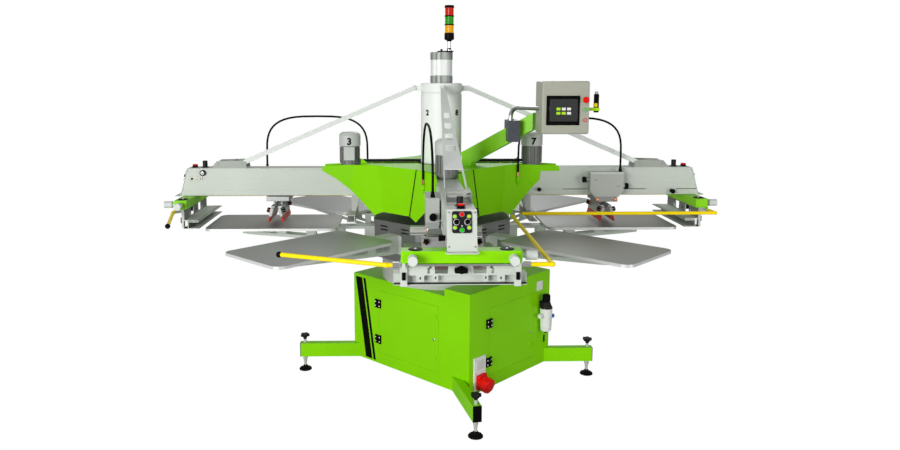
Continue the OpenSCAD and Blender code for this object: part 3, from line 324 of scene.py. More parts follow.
def cylinder_finish():
    """A white barrel between two dark ends, with upright streaks of painted reflection, as on a polished
    tube.
    """
    finish = Finish("cylinder barrel", (0.8, 0.8, 0.8), 0.24)
    height = finish.axes()[2]
    barrel = (height > BARREL_Z[0]) * (height < BARREL_Z[1])
    # Painted reflections: upright dark and bright bands, such as a polished tube mirrors.
    painted_reflection_streaks = finish.noise(34, 2, (1, 1, 0.01)) * 3.4 - 1.2
    ends = finish.mix(painted_reflection_streaks, (0.06, 0.07, 0.06), (0.46, 0.49, 0.45))
    middle = finish.mix(painted_reflection_streaks, (0.66, 0.7, 0.66), (0.95, 0.97, 0.95))
    finish.colours(barrel, ends, middle)
    finish.gloss(0.25, 0.1, painted_reflection_streaks)
    return finish


def motor_finish():
    """Pale cowls and terminal boxes, darker bodies: height and distance from the axis part them."""
    finish = Finish("motor castings", (0.4, 0.4, 0.4), 0.42, Specular_IOR_Level=0.35)
    x, y, height = finish.axes()
    out, side = abs(x).larger(abs(y)) - MOTOR_X, abs(x).smaller(abs(y))
    light = (height > COWL_Z).larger(out * out + side * side > MOTOR_RADIUS_SQUARED)
    cloud = finish.noise(7, 3)
    body = finish.mix(cloud, (0.125, 0.132, 0.122), (0.24, 0.25, 0.235))
    shell = finish.mix(cloud, (0.43, 0.455, 0.43), (0.56, 0.585, 0.56))
    finish.colours(light, body, shell)
    finish.gloss(0.42)
    finish.bump(finish.noise(600, 1), 0.25, 0.0003)
    return finish


def arm_finish():
    """The arm is green, and the clamp round it is dark grey: the clamp's box parts them."""
    finish = Finish("arm and clamp", (0.23, 0.66, 0.0), 0.36, Specular_IOR_Level=0.28)
    x, y, z = finish.axes()
    clamp = (x > 0.3745) * (x < 0.4465) * (y > -0.4205) * (y < -0.2545) * (z > 1.5855) * (z < 1.7125)
    cloud = finish.noise(3.2, 3)
    paint_side = finish.mix(cloud, (0.212, 0.607, 0.0), (0.248, 0.7, 0.0))
    clamp_side = finish.mix(cloud, (0.06, 0.066, 0.08), (0.085, 0.092, 0.11))
    finish.colours(clamp, paint_side, clamp_side)
    finish.gloss(0.36)
    finish.bump(finish.noise(900, 1), 0.12)
    return finish


def channel_finish():
    """Painted shade on the faces towards the hub, which the channel keeps in shadow, and paint on the others.
    """
    finish = Finish("channel paint and painted shade", (0.5, 0.5, 0.5), 0.38, Specular_IOR_Level=0.28)
    outward = finish.node("ShaderNodeVectorMath", {"operation": "DOT_PRODUCT"}, {
        0: finish.place(), 1: finish.place("Normal")}, "Value")
    cloud = finish.noise(5, 3)
    paint_side = finish.mix(cloud, (0.5, 0.54, 0.49), (0.6, 0.64, 0.58))
    # Painted shade: a dark grey for the inner faces, which lie in the channel's shadow.
    painted_shade_side = finish.mix(cloud, (0.13, 0.134, 0.13), (0.2, 0.205, 0.198))
    finish.colours(outward < TOWARDS_HUB, paint_side, painted_shade_side)
    finish.gloss(0.38)
    finish.bump(finish.noise(700, 1), 0.15)
    return finish


def on_each_head(pattern):
    return [pattern % station for station in (1, 3, 5, 7)]


unit_finish = blade_unit_finish()
channel_skin = channel_finish()
barrel_skin, motor_skin, arm_skin = cylinder_finish(), motor_finish(), arm_finish()
cad_finish = {
    green: ["base_cabinet", "door_left", "door_right", "leg_tubes", "bay_covers", "cross_bars"],
    pale: ["pallet_arms", "head_beams", "beam_end_plates"],
    bracket_grey: ["strut_brackets"],
    channel_skin: ["screen_holders", "screen_channels"],
    carriage_grey: on_each_head("carriage_%d"),
    white: ["column_shell", "strut_collar"],
    strut_white: ["head_struts"],
    hub_steel: ["carousel_hub"],
    motor_skin: ["drive_motors"],
    arm_skin: ["control_arm"],
    cast_grey: ["drum_housing", "centre_column", "inner_brackets", "lift_sleeve"],
    black: ["door_hinges", "leg_end_caps", "regulator_knob"],
    steel: ["swivel_tube"],
    barrel_skin: ["lift_cylinder"],
    box_grey: ["control_box"],
    soft_black: ["motor_conduits"],
    pallet_skin: ["pallet_boards"],
    knob_white: ["register_knobs"],
    red: ["stop_button"],
    yellow: on_each_head("safety_bars_%d"),
    unit_finish: on_each_head("squeegee_%d") + on_each_head("flood_bar_%d"),
}


def paint(piece, finish):
    piece.data.materials.clear()
    piece.data.materials.append(finish.material)


for finish, names in cad_finish.items():
    for name in names:
        paint(nodes[name], finish)
print("painted nodes:", sum(len(names) for names in cad_finish.values()))

# %% [markdown]
# ## Modelling helpers
# Most small fittings are a bevelled block, a turned shape or a flat outline with thickness. Each starts as
# a primitive, is shaped in edit mode, and ends with its place applied, so its object sits at the origin.


# %% Selection and finishing
def clear_choice():
    if bpy.context.mode != "OBJECT":
        bpy.ops.object.mode_set(mode="OBJECT")
    bpy.ops.object.select_all(action="DESELECT")


def choose(piece):
    clear_choice()
    piece.select_set(True)
    bpy.context.view_layer.objects.active = piece


def settle(piece, smooth=40):
    """Apply the object's place, and smooth edges below an angle."""
    choose(piece)
    bpy.ops.object.transform_apply(location=True, rotation=True, scale=True)
    bpy.ops.object.shade_smooth_by_angle(angle=radians(smooth))


def soften(piece, width):
    choose(piece)
    edge = piece.modifiers.new("edge", "BEVEL")
    edge.width, edge.segments, edge.limit_method = width, 2, "ANGLE"
    bpy.ops.object.modifier_apply(modifier="edge")


def named(name):
    piece = bpy.context.object
    piece.name = piece.data.name = name
    return piece


# %% Blocks, turned shapes and outlines
def extrude_up(steps, radius=1, height=0):
    """Raise a flat face through rings of (radius, height), and turn its faces outwards."""
    bpy.ops.object.mode_set(mode="EDIT")
    bpy.ops.mesh.select_all(action="SELECT")
    for next_radius, next_height in steps:
        bpy.ops.mesh.extrude_region_move(TRANSFORM_OT_translate={"value": (0, 0, next_height - height)})
        grow = next_radius / radius
        bpy.ops.transform.resize(value=(grow, grow, 1), center_override=(0, 0, next_height))
        radius, height = next_radius, next_height
    bpy.ops.mesh.select_all(action="SELECT")
    bpy.ops.mesh.normals_make_consistent(inside=False)
    bpy.ops.object.mode_set(mode="OBJECT")


def block(name, low, high, edge=0.001):
    clear_choice()
    middle = [(a + b) / 2 for a, b in zip(low, high)]
    bpy.ops.mesh.primitive_cube_add(size=1, location=middle)
    piece = named(name)
    piece.scale = [b - a for a, b in zip(low, high)]
    settle(piece)
    soften(piece, edge)
    settle(piece)
    return piece


def turned(name, rings, foot=(0, 0, 0), along=(0, 0, 1), sides=32):
    """rings: (radius, height) from the foot up, along the axis."""
    clear_choice()
    radius, height = rings[0]
    bpy.ops.mesh.primitive_circle_add(vertices=sides, radius=radius, fill_type="NGON",
                                      location=(0, 0, height))
    piece = named(name)
    extrude_up(rings[1:], radius, height)
    piece.rotation_euler = aimed(along).to_euler()
    piece.location = Vector(foot) + Vector(along).normalized() * height
    settle(piece)
    return piece


def outline(name, points, height, edge=0.0):
    """A flat outline in X and Y, raised by height."""
    clear_choice()
    bpy.ops.mesh.primitive_circle_add(vertices=len(points), radius=1, fill_type="NGON")
    piece = named(name)
    for vertex, (x, y) in zip(piece.data.vertices, points):
        vertex.co = (x, y, 0)
    extrude_up([(1, height)])
    if edge:
        soften(piece, edge)
    return piece


def rounded(width, depth, corner, steps=5):
    """Points of a rectangle with round corners, about its middle."""
    points = []
    for turn, (sx, sy) in enumerate([(1, 1), (-1, 1), (-1, -1), (1, -1)]):
        for k in range(steps + 1):
            a = radians(90 * turn + 90 * k / steps)
            points.append((sx * (width / 2 - corner) + corner * cos(a),
                           sy * (depth / 2 - corner) + corner * sin(a)))
    return points


def aimed(along):
    """The turn that takes upward to a direction."""
    return Vector((0, 0, 1)).rotation_difference(Vector(along))


def move(piece, matrix):
    piece.data.transform(matrix)
    piece.data.update()
    return piece


def join(name, parts):
    clear_choice()
    for part in parts:
        part.select_set(True)
    bpy.context.view_layer.objects.active = parts[0]
    bpy.ops.object.join()
    return named(name)


print("modelling helpers ready")

# %% Placing, and the four heads
ANGLES = {7: 0, 5: 90, 3: 180, 1: 270}
HANDS = ((-1, "left"), (1, "right"))
X_AXIS, Y_AXIS, MINUS_Y = (1, 0, 0), (0, 1, 0), (0, -1, 0)
shift = Matrix.Translation


def rotation(degrees, axis="Z"):
    return Matrix.Rotation(radians(degrees), 4, axis)


def turn_to(station):
    return rotation(ANGLES[station])


def at(piece, x, y, z=0.0):
    return move(piece, shift((x, y, z)))


def measured_from(*corner):
    """Places measured from one corner."""
    return lambda *step: tuple(a + b for a, b in zip(corner, step))


def fit(piece, finish, body="machine", slot=None):
    """Paint a piece, and attach it to the body that carries it."""
    slot = slot or finish.slot
    paint(piece, finish)
    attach(piece, body)
    return piece


def on_heads(piece, finish, body="machine", slot=None):
    """One piece, modelled at head 7, and copied with a mesh of its own to the other heads."""
    base, made = piece.name, {}
    for station in (5, 3, 1):
        twin = made[station] = piece.copy()
        twin.data = piece.data.copy()
        twin.name = twin.data.name = "%s_%d" % (base, station)
        scene.collection.objects.link(twin)
        move(twin, turn_to(station))
    piece.name = piece.data.name = base + "_7"
    made[7] = piece
    for station, twin in made.items():
        fit(twin, finish, body % station if "%" in body else body, slot)
    return made


print("heads:", len(ANGLES))

# %% [markdown]
# ## Air hoses
# A stiff black hose carries air from a fitting on the cover to each carriage, in one high arch. It comes
# before other pieces, because its length is a fact of the machine.

# %% Hoses
START, END = Vector((0.484, -0.133, 1.37)), Vector((1.147, -0.105, 1.398))
RISE_Z, DROP_Z = 1.42, 1.434
ARCH_Z, ARCH_HEIGHT, ARCH_STEPS = 1.47, 0.245, 24
SHOULDER = 0.62
HOSE_D = 0.013


def eased(value):
    """A power below one keeps the sign and gives the arch fuller shoulders."""
    return copysign(abs(value) ** SHOULDER, value)


line = [START, Vector((START.x, START.y, RISE_Z))]
for k in range(ARCH_STEPS + 1):
    u = k / ARCH_STEPS
    line.append(Vector((
        (START.x + END.x) / 2 - (END.x - START.x) / 2 * eased(cos(pi * u)),
        START.y + (END.y - START.y) * u,
        ARCH_Z + ARCH_HEIGHT * eased(sin(pi * u)))))
line += [Vector((END.x, END.y, DROP_Z)), END]


def tube(name, path, diameter, sides=12):
    """A round bar along a path: a curve with thickness, made a mesh."""
    clear_choice()
    bpy.ops.curve.primitive_bezier_curve_add(location=(0, 0, 0))
    curve = named(name)
    curve.data.splines.remove(curve.data.splines[0])
    spline = curve.data.splines.new("POLY")
    spline.points.add(len(path) - 1)
    for knot, spot in zip(spline.points, path):
        knot.co = (*spot, 1)
    curve.data.bevel_depth = diameter / 2
    curve.data.bevel_resolution = sides // 4
    curve.data.use_fill_caps = True
    curve.data.twist_mode = "MINIMUM"
    choose(curve)
    bpy.ops.object.convert(target="MESH")
    settle(bpy.context.object, 60)
    return bpy.context.object


for station in (7, 5, 3, 1):
    spots = [turn_to(station) @ spot for spot in line]
    hose = tube("air_hose_tube_%d" % station, spots, HOSE_D)
    paint(hose, rubber)
    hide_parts("air_hose_%d" % station)
    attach(hose, "machine")
    hose.parent = None
    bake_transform(hose)

# %% [markdown]
# ## Fittings at the end of each beam
# The raked end of a beam carries a black push-button panel: a stop button, a start button, four lime keys
# and two dials. They are modelled flat, in the end face's own frame, and then leaned back with it. The
# knobs, gauge and bar caps follow, modelled at the right-hand head and copied to the others.

# %% Push-button panel
RAKE = atan(50 / 176)
END_FACE = (shift((1.679, 0, 1.215)) @ Matrix.Rotation(-RAKE, 4, "Y")
            @ rotation(90) @ rotation(90, "X"))
PANEL_Y, PANEL_FACE, DIAL_X = 0.1275, 0.0055, 0.024


def on_end_face(piece, finish):
    return on_heads(move(piece, END_FACE), finish)


def button(name, radius, height):
    return turned(name, [(radius, 0), (radius, height * 0.6), (radius * 0.9, height * 0.9),
                         (radius * 0.5, height)], sides=24)


plate = outline("key_panel", rounded(0.086, 0.096, 0.009), PANEL_FACE, 0.0012)
for piece in on_end_face(at(plate, 0, PANEL_Y), soft_black).values():
    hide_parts("beam_fittings")
keys = [("stop_key", 0, 0.161, 0.0095, red), ("start_key", 0, 0.0925, 0.0095, go_green)]
keys += [("lime_key_" + letter, x, y, 0.0078, lime) for letter, x, y in (
    ("a", -0.031, 0.152), ("b", 0.031, 0.152), ("c", -0.031, 0.103), ("d", 0.031, 0.103))]
for name, x, y, radius, finish in keys:
    ring = [(radius + 0.0022, 0), (radius + 0.0022, 0.002), (radius + 0.001, 0.003)]
    on_end_face(at(turned(name + "_ring", ring, sides=24), x, y, PANEL_FACE), steel)
    on_end_face(at(button(name, radius, 0.0055), x, y, PANEL_FACE + 0.0015), finish)
for side, hand in HANDS:
    scale = turned("dial_%s_scale" % hand, [(0.0138, 0), (0.0138, 0.0012), (0.0125, 0.0014)])
    on_end_face(at(scale, side * DIAL_X, PANEL_Y, PANEL_FACE), label_white)
    dial = turned("dial_" + hand, [(0.0118, 0), (0.0112, 0.008), (0.0085, 0.0095)], sides=20)
    on_end_face(at(dial, side * DIAL_X, PANEL_Y, PANEL_FACE + 0.001), black)
on_end_face(at(button("key_lamp", 0.003, 0.002), 0, 0.111, 0.0052), label_white)
screws = [at(button("plate_screw", 0.0045, 0.003), x, y) for x in (-0.057, 0.057) for y in (0.02, 0.17)]
on_end_face(join("plate_screws", screws), steel)
print("panel keys:", len(keys))

# %% Knobs, gauge and caps on the beam
BEAM_TOP, BEAM_SIDE = 1.391, 0.0628
GAUGE_X, GAUGE_Z = 1.53, 1.362
for name, rings, x, up, finish in (
        ("stop_base", [(0.0205, 0), (0.0205, 0.004), (0.0165, 0.006), (0.0165, 0.014)], 1.594, 0, black),
        ("stop_head", [(0.0162, 0), (0.0172, 0.002), (0.0172, 0.0055), (0.0145, 0.0075)], 1.594, 0.0135, red),
        ("lift_knob", [(0.024, 0), (0.024, 0.003), (0.0155, 0.004), (0.0155, 0.04), (0.014, 0.0435),
                       (0.01, 0.044)], 1.53, 0, soft_black)):
    on_heads(turned(name, rings, (x, 0, BEAM_TOP + up)), finish)
for name, rings, y, sides, finish in (
        ("gauge_case", [(0.0185, 0), (0.0185, 0.014), (0.017, 0.016), (0.0155, 0.016)], 0.063, 32, black),
        ("gauge_glass", [(0.012, 0), (0.0115, 0.0012), (0.006, 0.0018)], 0.079, 32, gauge_glass),
        ("gauge_hand", [(0.003, 0), (0.003, 0.001), (0.0015, 0.0014)], 0.0805, 12, black)):
    on_heads(turned(name, rings, (GAUGE_X, y, GAUGE_Z), Y_AXIS, sides), finish)
on_heads(block("side_plate", (1.534, 0.062, 1.3105), (1.622, 0.0674, 1.3385), 0.0015), pale)
for letter, x, radius, finish in (("a", 1.6, 0.0072, black), ("b", 1.571, 0.0058, brass),
                                  ("c", 1.547, 0.0035, black)):
    on_heads(turned("side_key_" + letter, [(radius, 0), (radius, 0.002), (radius * 0.7, 0.003)],
                    (x, 0.0668, 1.3245), Y_AXIS, 16), finish, slot="black_plastic")
on_heads(turned("side_knob", [(0.0132, 0), (0.0132, 0.02), (0.015, 0.022), (0.015, 0.028),
                              (0.011, 0.031)], (1.501, -BEAM_SIDE, 1.237), MINUS_Y), black)
on_heads(turned("inner_side_knob", [(0.006, 0), (0.006, 0.01), (0.012, 0.012), (0.0125, 0.019),
                                    (0.009, 0.022)], (0.632, -BEAM_SIDE, 1.25), MINUS_Y), black)
# Painted shade: thin black sheets stand for the dark inside of the beam's slots.
slots = [block("slot", (low, -0.0636, 1.2488), (high, -0.0629, 1.252), 0.0002)
         for low, high in ((0.79, 0.945), (1.168, 1.332), (1.53, 1.664))]
on_heads(join("beam_slot_shade", slots), soft_black)
for side, hand in HANDS:
    x, y = 1.623, side * 0.202
    on_heads(turned("bar_cap_" + hand, [(0.0315, 0), (0.0315, 0.002), (0.029, 0.0036)], (x, y, 1.2128)),
             black)
    on_heads(turned("bar_cap_%s_centre" % hand, [(0.0055, 0), (0.0055, 0.004), (0.004, 0.005)],
                    (x, y, 1.215), sides=16), label_white)
on_heads(turned("hose_nut", [(0.008, 0), (0.0085, 0.002), (0.0085, 0.012), (0.0074, 0.014), (0.0074, 0.031)],
                (START.x, START.y, 1.34), sides=6), brass)

# %% [markdown]
# ## Screen clamps
# A star knob under each green bar locks the screen. Two hangers slide on the bar and carry the channel.

# %% Star knobs and hangers
SCREEN_KNOB_X, LOBE_DEPTH = 1.63, 0.13


def star(name, radius, height, lobes=5):
    points = []
    for k in range(lobes * 8):
        a = 2 * pi * k / (lobes * 8)
        r = radius * (1 - LOBE_DEPTH + LOBE_DEPTH * cos(lobes * a))
        points.append((r * cos(a), r * sin(a)))
    return outline(name, points, height, min(height, radius) * 0.18)


stem = turned("screen_stem", [(0.018, 0), (0.018, 0.005), (0.0085, 0.007), (0.0085, 0.0325)],
              (SCREEN_KNOB_X, 0, 1.1275))
knob = at(star("screen_star", 0.033, 0.019, 6), SCREEN_KNOB_X, 0, 1.109)
on_heads(join("screen_knob", [knob, stem]), black)
on_heads(block("channel_lip", (1.5735, -0.299, 1.044), (1.599, 0.299, 1.0475)), pale)
on_heads(block("lip_seal", (1.5732, -0.298, 1.0476), (1.598, 0.298, 1.05), 0.0008), soft_black,
         slot="black_rubber")
marks = [block("mark", (1.6038, side * y - 0.0035, z), (1.6047, side * y + 0.0035, z + 0.012), 0.0003)
         for side, hand in HANDS for y, z in ((0.112, 1.073), (0.18, 1.071))]
on_heads(join("holder_marks", marks), dark_steel)
for side, hand in HANDS:
    near, far = sorted((side * 0.238, side * 0.269))
    on_heads(block("hanger_" + hand, (1.6042, near, 1.042), (1.618, far, 1.1345), 0.0015), pale)
    on_heads(block("slider_" + hand, (1.617, near + 0.007, 1.073), (1.626, far - 0.007, 1.108), 0.0015),
             black)
    on_heads(turned("holder_bolt_" + hand, [(0.006, 0), (0.006, 0.003), (0.004, 0.004)],
                    (1.6035, side * 0.136, 1.127), X_AXIS, 16), dark_steel)
print("screen knobs done")

# %% [markdown]
# ## Safety bars
# Each head has a yellow bar that stops the machine when it is pushed. It hangs on a bright shaft between two
# sleeves. At the front and left heads a black ball ends the short side, so that nobody is hurt by it.

# %% Shafts and balls of the safety bars
SHAFT_X, SHAFT_Z, BALL = 1.65, 1.15, 0.0147
shaft = [turned("shaft", [(0.0066, 0), (0.0066, 0.604)], (SHAFT_X, -0.302, SHAFT_Z), Y_AXIS, 24)]
shaft += [turned("sleeve", [(0.0125, 0), (0.0136, 0.001), (0.0136, 0.031), (0.0125, 0.032)],
                 (SHAFT_X, y, SHAFT_Z), Y_AXIS, 24) for y in (-0.303, 0.271)]
on_heads(join("bar_shaft", shaft), chrome, "safety_unit_%d")
arcs = [radians(a) for a in range(15, 166, 15)]
rings = [(BALL * sin(a), BALL * (1 - cos(a))) for a in arcs]
for station, x, y in ((1, 1.439, -0.8291), (3, 1.5537, 0.749)):
    ball = turned("bar_ball_%d" % station, rings, (x, y, SHAFT_Z - BALL), sides=24)
    fit(move(ball, turn_to(station)), black, "safety_unit_%d" % station)
print("safety bars: 4")

# %% [markdown]
# ## Carriages and blades
# The case of each carriage narrows to its skirt, with a steel yoke below it and a black knob at both ends.
# Every blade clamp is closed by two black hand screws over an orange washer, on its leaning outer face.

# %% Carriage cases, yokes and knobs
CARRIAGE_X, KNOB_Y = 1.056, -0.1045
YOKE_SCREWS, YOKE_SCREW_Z = (CARRIAGE_X - 0.057, CARRIAGE_X + 0.057), 1.1935
body = "carriage_unit_%d"
stand = shift((CARRIAGE_X, -0.071, 0)) @ rotation(90, "X")
case = outline("carriage_case", [(-0.108, 1.246), (-0.076, 1.2085), (0.076, 1.2085), (0.108, 1.246),
                                 (0.108, 1.368), (-0.108, 1.368)], 0.067, 0.0022)
for station, piece in on_heads(move(case, stand), carriage_grey, body).items():
    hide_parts("carriage_%d" % station)
yoke = [block("yoke_plate", (0.983, -0.131, 1.177), (1.129, 0.066, 1.2078), 0.002)]
yoke += [block("yoke_end", (x - 0.014, -0.1345, 1.18), (x + 0.014, -0.1, 1.208), 0.004)
         for x in YOKE_SCREWS]
on_heads(join("carriage_yoke", yoke), hub_steel, body)
glides = [block("glide", (0.958, -0.073, z), (1.154, -0.0641, z + 0.012)) for z in (1.245, 1.354)]
on_heads(join("carriage_glides", glides), steel, body)
for name, x, z, side, stem in (("outer", 1.1632, 1.276, 1, 0.014), ("inner", 0.9488, 1.318, -1, 0.019)):
    on_heads(turned(name + "_knob_stem", [(0.0146, 0), (0.0146, stem), (0.012, stem + 0.001)],
                    (x, KNOB_Y, z), (side, 0, 0)), steel, body)
    on_heads(turned(name + "_knob_head", [(0.015, 0), (0.0152, 0.004), (0.0195, 0.01), (0.0195, 0.02),
                                          (0.015, 0.025)], (x + side * stem, KNOB_Y, z), (side, 0, 0)),
             black, body)
on_heads(turned("hose_gland", [(0.0125, 0), (0.0125, 0.01), (0.0095, 0.014), (0.0085, 0.03)],
                (END.x, END.y, 1.37), sides=6), black, body)
on_heads(block("carriage_lid", (0.9495, -0.14, 1.3575), (1.1625, -0.1376, 1.369), 0.0012), pale, body)
dashes = [block("dash", (x, -0.1386, z), (x + 0.02, -0.1377, z + 0.0026), 0.0003)
          for x, z in ((0.973, 1.318), (1.119, 1.277))]
on_heads(join("carriage_marks", dashes), soft_black, body)
for name, rings, y, sides, finish in (
        ("yoke_rings", [(0.0105, 0), (0.0105, 0.002), (0.0065, 0.003)], -0.134, 20, orange),
        ("yoke_ring_eyes", [(0.005, 0), (0.0045, 0.002)], -0.1362, 16, label_white)):
    pair = [turned("ring", rings, (x, y, YOKE_SCREW_Z), MINUS_Y, sides) for x in YOKE_SCREWS]
    on_heads(join(name, pair), finish, body)
print("carriages: 4")

# %% Hand screws of the blades
BLADE_LEAN, CLAMP_LENGTH, CLAMP_FOOT_Z = 16, 0.086, 1.058
CLAMP_TOP = CLAMP_FOOT_Z + CLAMP_LENGTH * cos(radians(BLADE_LEAN))
GRIP_X, GRIP_Y, GRIP_Z = 0.0085, 0.136, -0.014
for side, kind in ((1, "squeegee"), (-1, "flood")):
    lean = shift((CARRIAGE_X + side * 0.023, 0, CLAMP_TOP)) @ rotation(-side * BLADE_LEAN, "Y")
    outward = aimed((side, 0, 0)).to_matrix().to_4x4()
    washers, grips = [], []
    for y in (-GRIP_Y, GRIP_Y):
        place = (side * GRIP_X, y, GRIP_Z)
        washers.append(turned("washer", [(0.015, 0), (0.015, 0.003), (0.012, 0.004)], place, (side, 0, 0),
                              24))
        grip = at(star("grip", 0.017, 0.019), 0, 0, 0.0035)
        grips.append(move(grip, shift(place) @ outward))
    unit = kind + "_unit_%d"
    on_heads(move(join(kind + "_washers", washers), lean), orange, unit)
    on_heads(move(join(kind + "_grips", grips), lean), black, unit)
print("blade units done")

# %% [markdown]
# ## Signal tower
# Three ribbed lenses stand on a black base, with a black ring between them and a cap on top. A steel stem
# carries them above the lift cylinder's plate.

# %% Lamps
tower_at = measured_from(0.049, 0, 2.132)
TOWER = tower_at(0, 0, 0)
LENS_HEIGHT, LENS_RIBS = 0.048, 8
base = turned("tower_base", [(0.012, 0.064), (0.02, 0.073), (0.0295, 0.075), (0.031, 0.08),
                             (0.031, 0.116), (0.0285, 0.118)], TOWER)
stem = [turned("tower_stem", [(0.01, 0.022), (0.01, 0.07)], TOWER, sides=24),
        turned("tower_foot", [(0.0165, 0), (0.0165, 0.012), (0.0145, 0.014)], TOWER, sides=24)]
fit(join("tower_stem", stem), steel)
bands = [turned("tower_band", [(0.0275, -0.001), (0.0308, 0), (0.0308, 0.006), (0.0275, 0.007)],
                tower_at(0, 0, z)) for z in (0.166, 0.22)]
cap = turned("tower_cap", [(0.0275, 0), (0.0305, 0.001), (0.0305, 0.012), (0.0275, 0.016)],
             tower_at(0, 0, 0.274))
foot = [block("tower_plate", (-0.026, -0.068, 2.1275), (0.072, 0.03, 2.1345)),
        turned("tower_collar", [(0.0125, 0), (0.0125, 0.008)], tower_at(0, 0, 0.014), sides=24),
        turned("tower_nut", [(0.008, 0), (0.008, 0.016)], (0, 0, TOWER[2]), sides=6)]
tower = join("tower_frame", [base, cap] + bands + foot)
fit(tower, black)
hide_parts("signal_tower")
for name, low, finish in (("amber", 0.118, lamp_amber), ("green", 0.172, lamp_green),
                          ("red", 0.226, lamp_red)):
    ribs = [(0.027 if k % 2 else 0.0275, LENS_HEIGHT * k / LENS_RIBS) for k in range(LENS_RIBS + 1)]
    fit(turned("lens_" + name, ribs, tower_at(0, 0, low), sides=40), finish)
print("lenses: 3")

# %% [markdown]
# ## Numbers
# Plain numbers tell the heads and pallets apart. Each is a text object, made a mesh before its place is
# applied, and pressed into the curved surface so that only its face stands proud.

# %% Numbers on the motors and the column
MOTOR_SKIN, MOTOR_NUMBER_Z, COLUMN_SKIN, COLUMN_NUMBER_Z = 0.0686, 1.56, 0.131, 1.745
TEXT_SIZE, RELIEF, BOLD = 1.4, 0.0015, 0.055


def number(digit, name, height, place, turn):
    clear_choice()
    bpy.ops.object.text_add(location=(0, 0, 0))
    text = bpy.context.object
    text.data.body, text.data.size, text.data.extrude = digit, height * TEXT_SIZE, RELIEF
    text.data.offset = height * BOLD
    text.data.align_x, text.data.align_y = "CENTER", "CENTER"
    choose(text)
    bpy.ops.object.convert(target="MESH")
    piece = move(named(name), rotation(90, "X"))
    return fit(move(piece, shift(place) @ rotation(turn)), black)


for station, x, y, turn in ((3, -MOTOR_X, -MOTOR_SKIN, 0), (7, MOTOR_X, -MOTOR_SKIN, 0),
                            (5, MOTOR_SKIN, MOTOR_X, 90), (1, MOTOR_SKIN, -MOTOR_X, 90)):
    number(str(station), "motor_number_%d" % station, 0.043, (x, y, MOTOR_NUMBER_Z), turn)
for digit, angle in (("2", 225), ("8", 315), ("6", 45), ("4", 135)):
    a = radians(angle)
    place = (COLUMN_SKIN * cos(a), COLUMN_SKIN * sin(a), COLUMN_NUMBER_Z)
    number(digit, "column_number_" + digit, 0.034, place, angle + 90)
print("numbers: 8")

# %% [markdown]
# ## Cabinet fittings
# The cabinet stands turned by 45 degrees, so its fittings are modelled in its own frame and then turned:
# a white plate with the red mains inlet, and the filter and pressure regulator of the air supply. After
# them come the doors' black hinges and bright catches, and two plain slanted stripes.

# %% Mains inlet and regulator
CABINET = rotation(-45) @ shift((0.05, 0.048, 0))
FACE = 0.5045


def on_cabinet(piece, finish, slot=None):
    return fit(move(piece, CABINET), finish, slot=slot)


inlet_at = measured_from(FACE, -0.3735, 0.118)
plate = on_cabinet(block("inlet_plate", inlet_at(0, 0, 0), inlet_at(0.008, 0.108, 0.203)), label_white)
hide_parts("power_inlet")
screws = [turned("inlet_screw", [(0.0045, 0), (0.0045, 0.002), (0.003, 0.003)], inlet_at(0.0078, y, z),
                 X_AXIS, 12) for y in (0.009, 0.099) for z in (0.108, 0.194)]
on_cabinet(join("inlet_screws", screws), steel)
on_cabinet(block("inlet_frame", inlet_at(0.007, 0.022, 0.126), inlet_at(0.0095, 0.088, 0.182)), knob_white)
SOCKET, SOCKET_TILT = inlet_at(0.024, 0.056, 0.052), radians(104)
tilt = (sin(SOCKET_TILT), 0, cos(SOCKET_TILT))
socket = [block("socket_base", inlet_at(0.008, 0.016, 0.008), inlet_at(0.032, 0.096, 0.098), 0.006),
          turned("socket_barrel", [(0.04, 0), (0.044, 0.012), (0.044, 0.024)], SOCKET, tilt, 12),
          turned("socket_cap", [(0.044, 0.022), (0.049, 0.025), (0.0475, 0.058), (0.042, 0.062)], SOCKET,
                 tilt, 8)]
on_cabinet(join("mains_socket", socket), red)
filter_at = measured_from(FACE + 0.044, 0.312, 0.32)
FILTER = filter_at(0, 0, 0)
bowl = turned("filter_bowl", [(0.03, 0.016), (0.035, 0.024), (0.037, 0.06), (0.04, 0.156),
                              (0.04, 0.168)], FILTER)
on_cabinet(bowl, label_white, "steel")
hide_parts("air_regulator")
on_cabinet(turned("filter_drain", [(0.008, 0), (0.008, 0.008), (0.011, 0.01), (0.011, 0.017)], FILTER),
           black)
on_cabinet(turned("sight_glass", [(0.005, 0), (0.005, 0.066)], filter_at(0.033, -0.016, 0.056), sides=16),
           clear_bowl)
head = [turned("regulator_head", [(0.0405, 0.167), (0.0405, 0.174), (0.033, 0.186), (0.025, 0.21)], FILTER,
               sides=40),
        block("regulator_bracket", filter_at(-0.044, -0.014, 0.15), filter_at(-0.038, 0.014, 0.206)),
        block("regulator_arm", filter_at(-0.038, -0.018, 0.172), filter_at(-0.02, 0.018, 0.196))]
on_cabinet(join("regulator_body", head), soft_black)
on_cabinet(turned("air_stub", [(0.01, 0.036), (0.01, 0.056), (0.014, 0.057), (0.014, 0.074)],
                  filter_at(0, 0, 0.126), MINUS_Y, 20), label_white, "steel")
on_cabinet(turned("valve_handle", [(0.01, 0.038), (0.013, 0.042), (0.013, 0.058), (0.009, 0.062)],
                  filter_at(0, 0, 0.108), (0.35, 0.94, 0), 16), blue)
on_cabinet(block("switch_slot", (FACE, 0.35, 0.237), (FACE + 0.003, 0.364, 0.284)), black)
on_cabinet(block("earth_plate", (FACE, 0.264, 0.6), (FACE + 0.002, 0.328, 0.66), 0.0008), label_white)
print("cabinet fittings done")

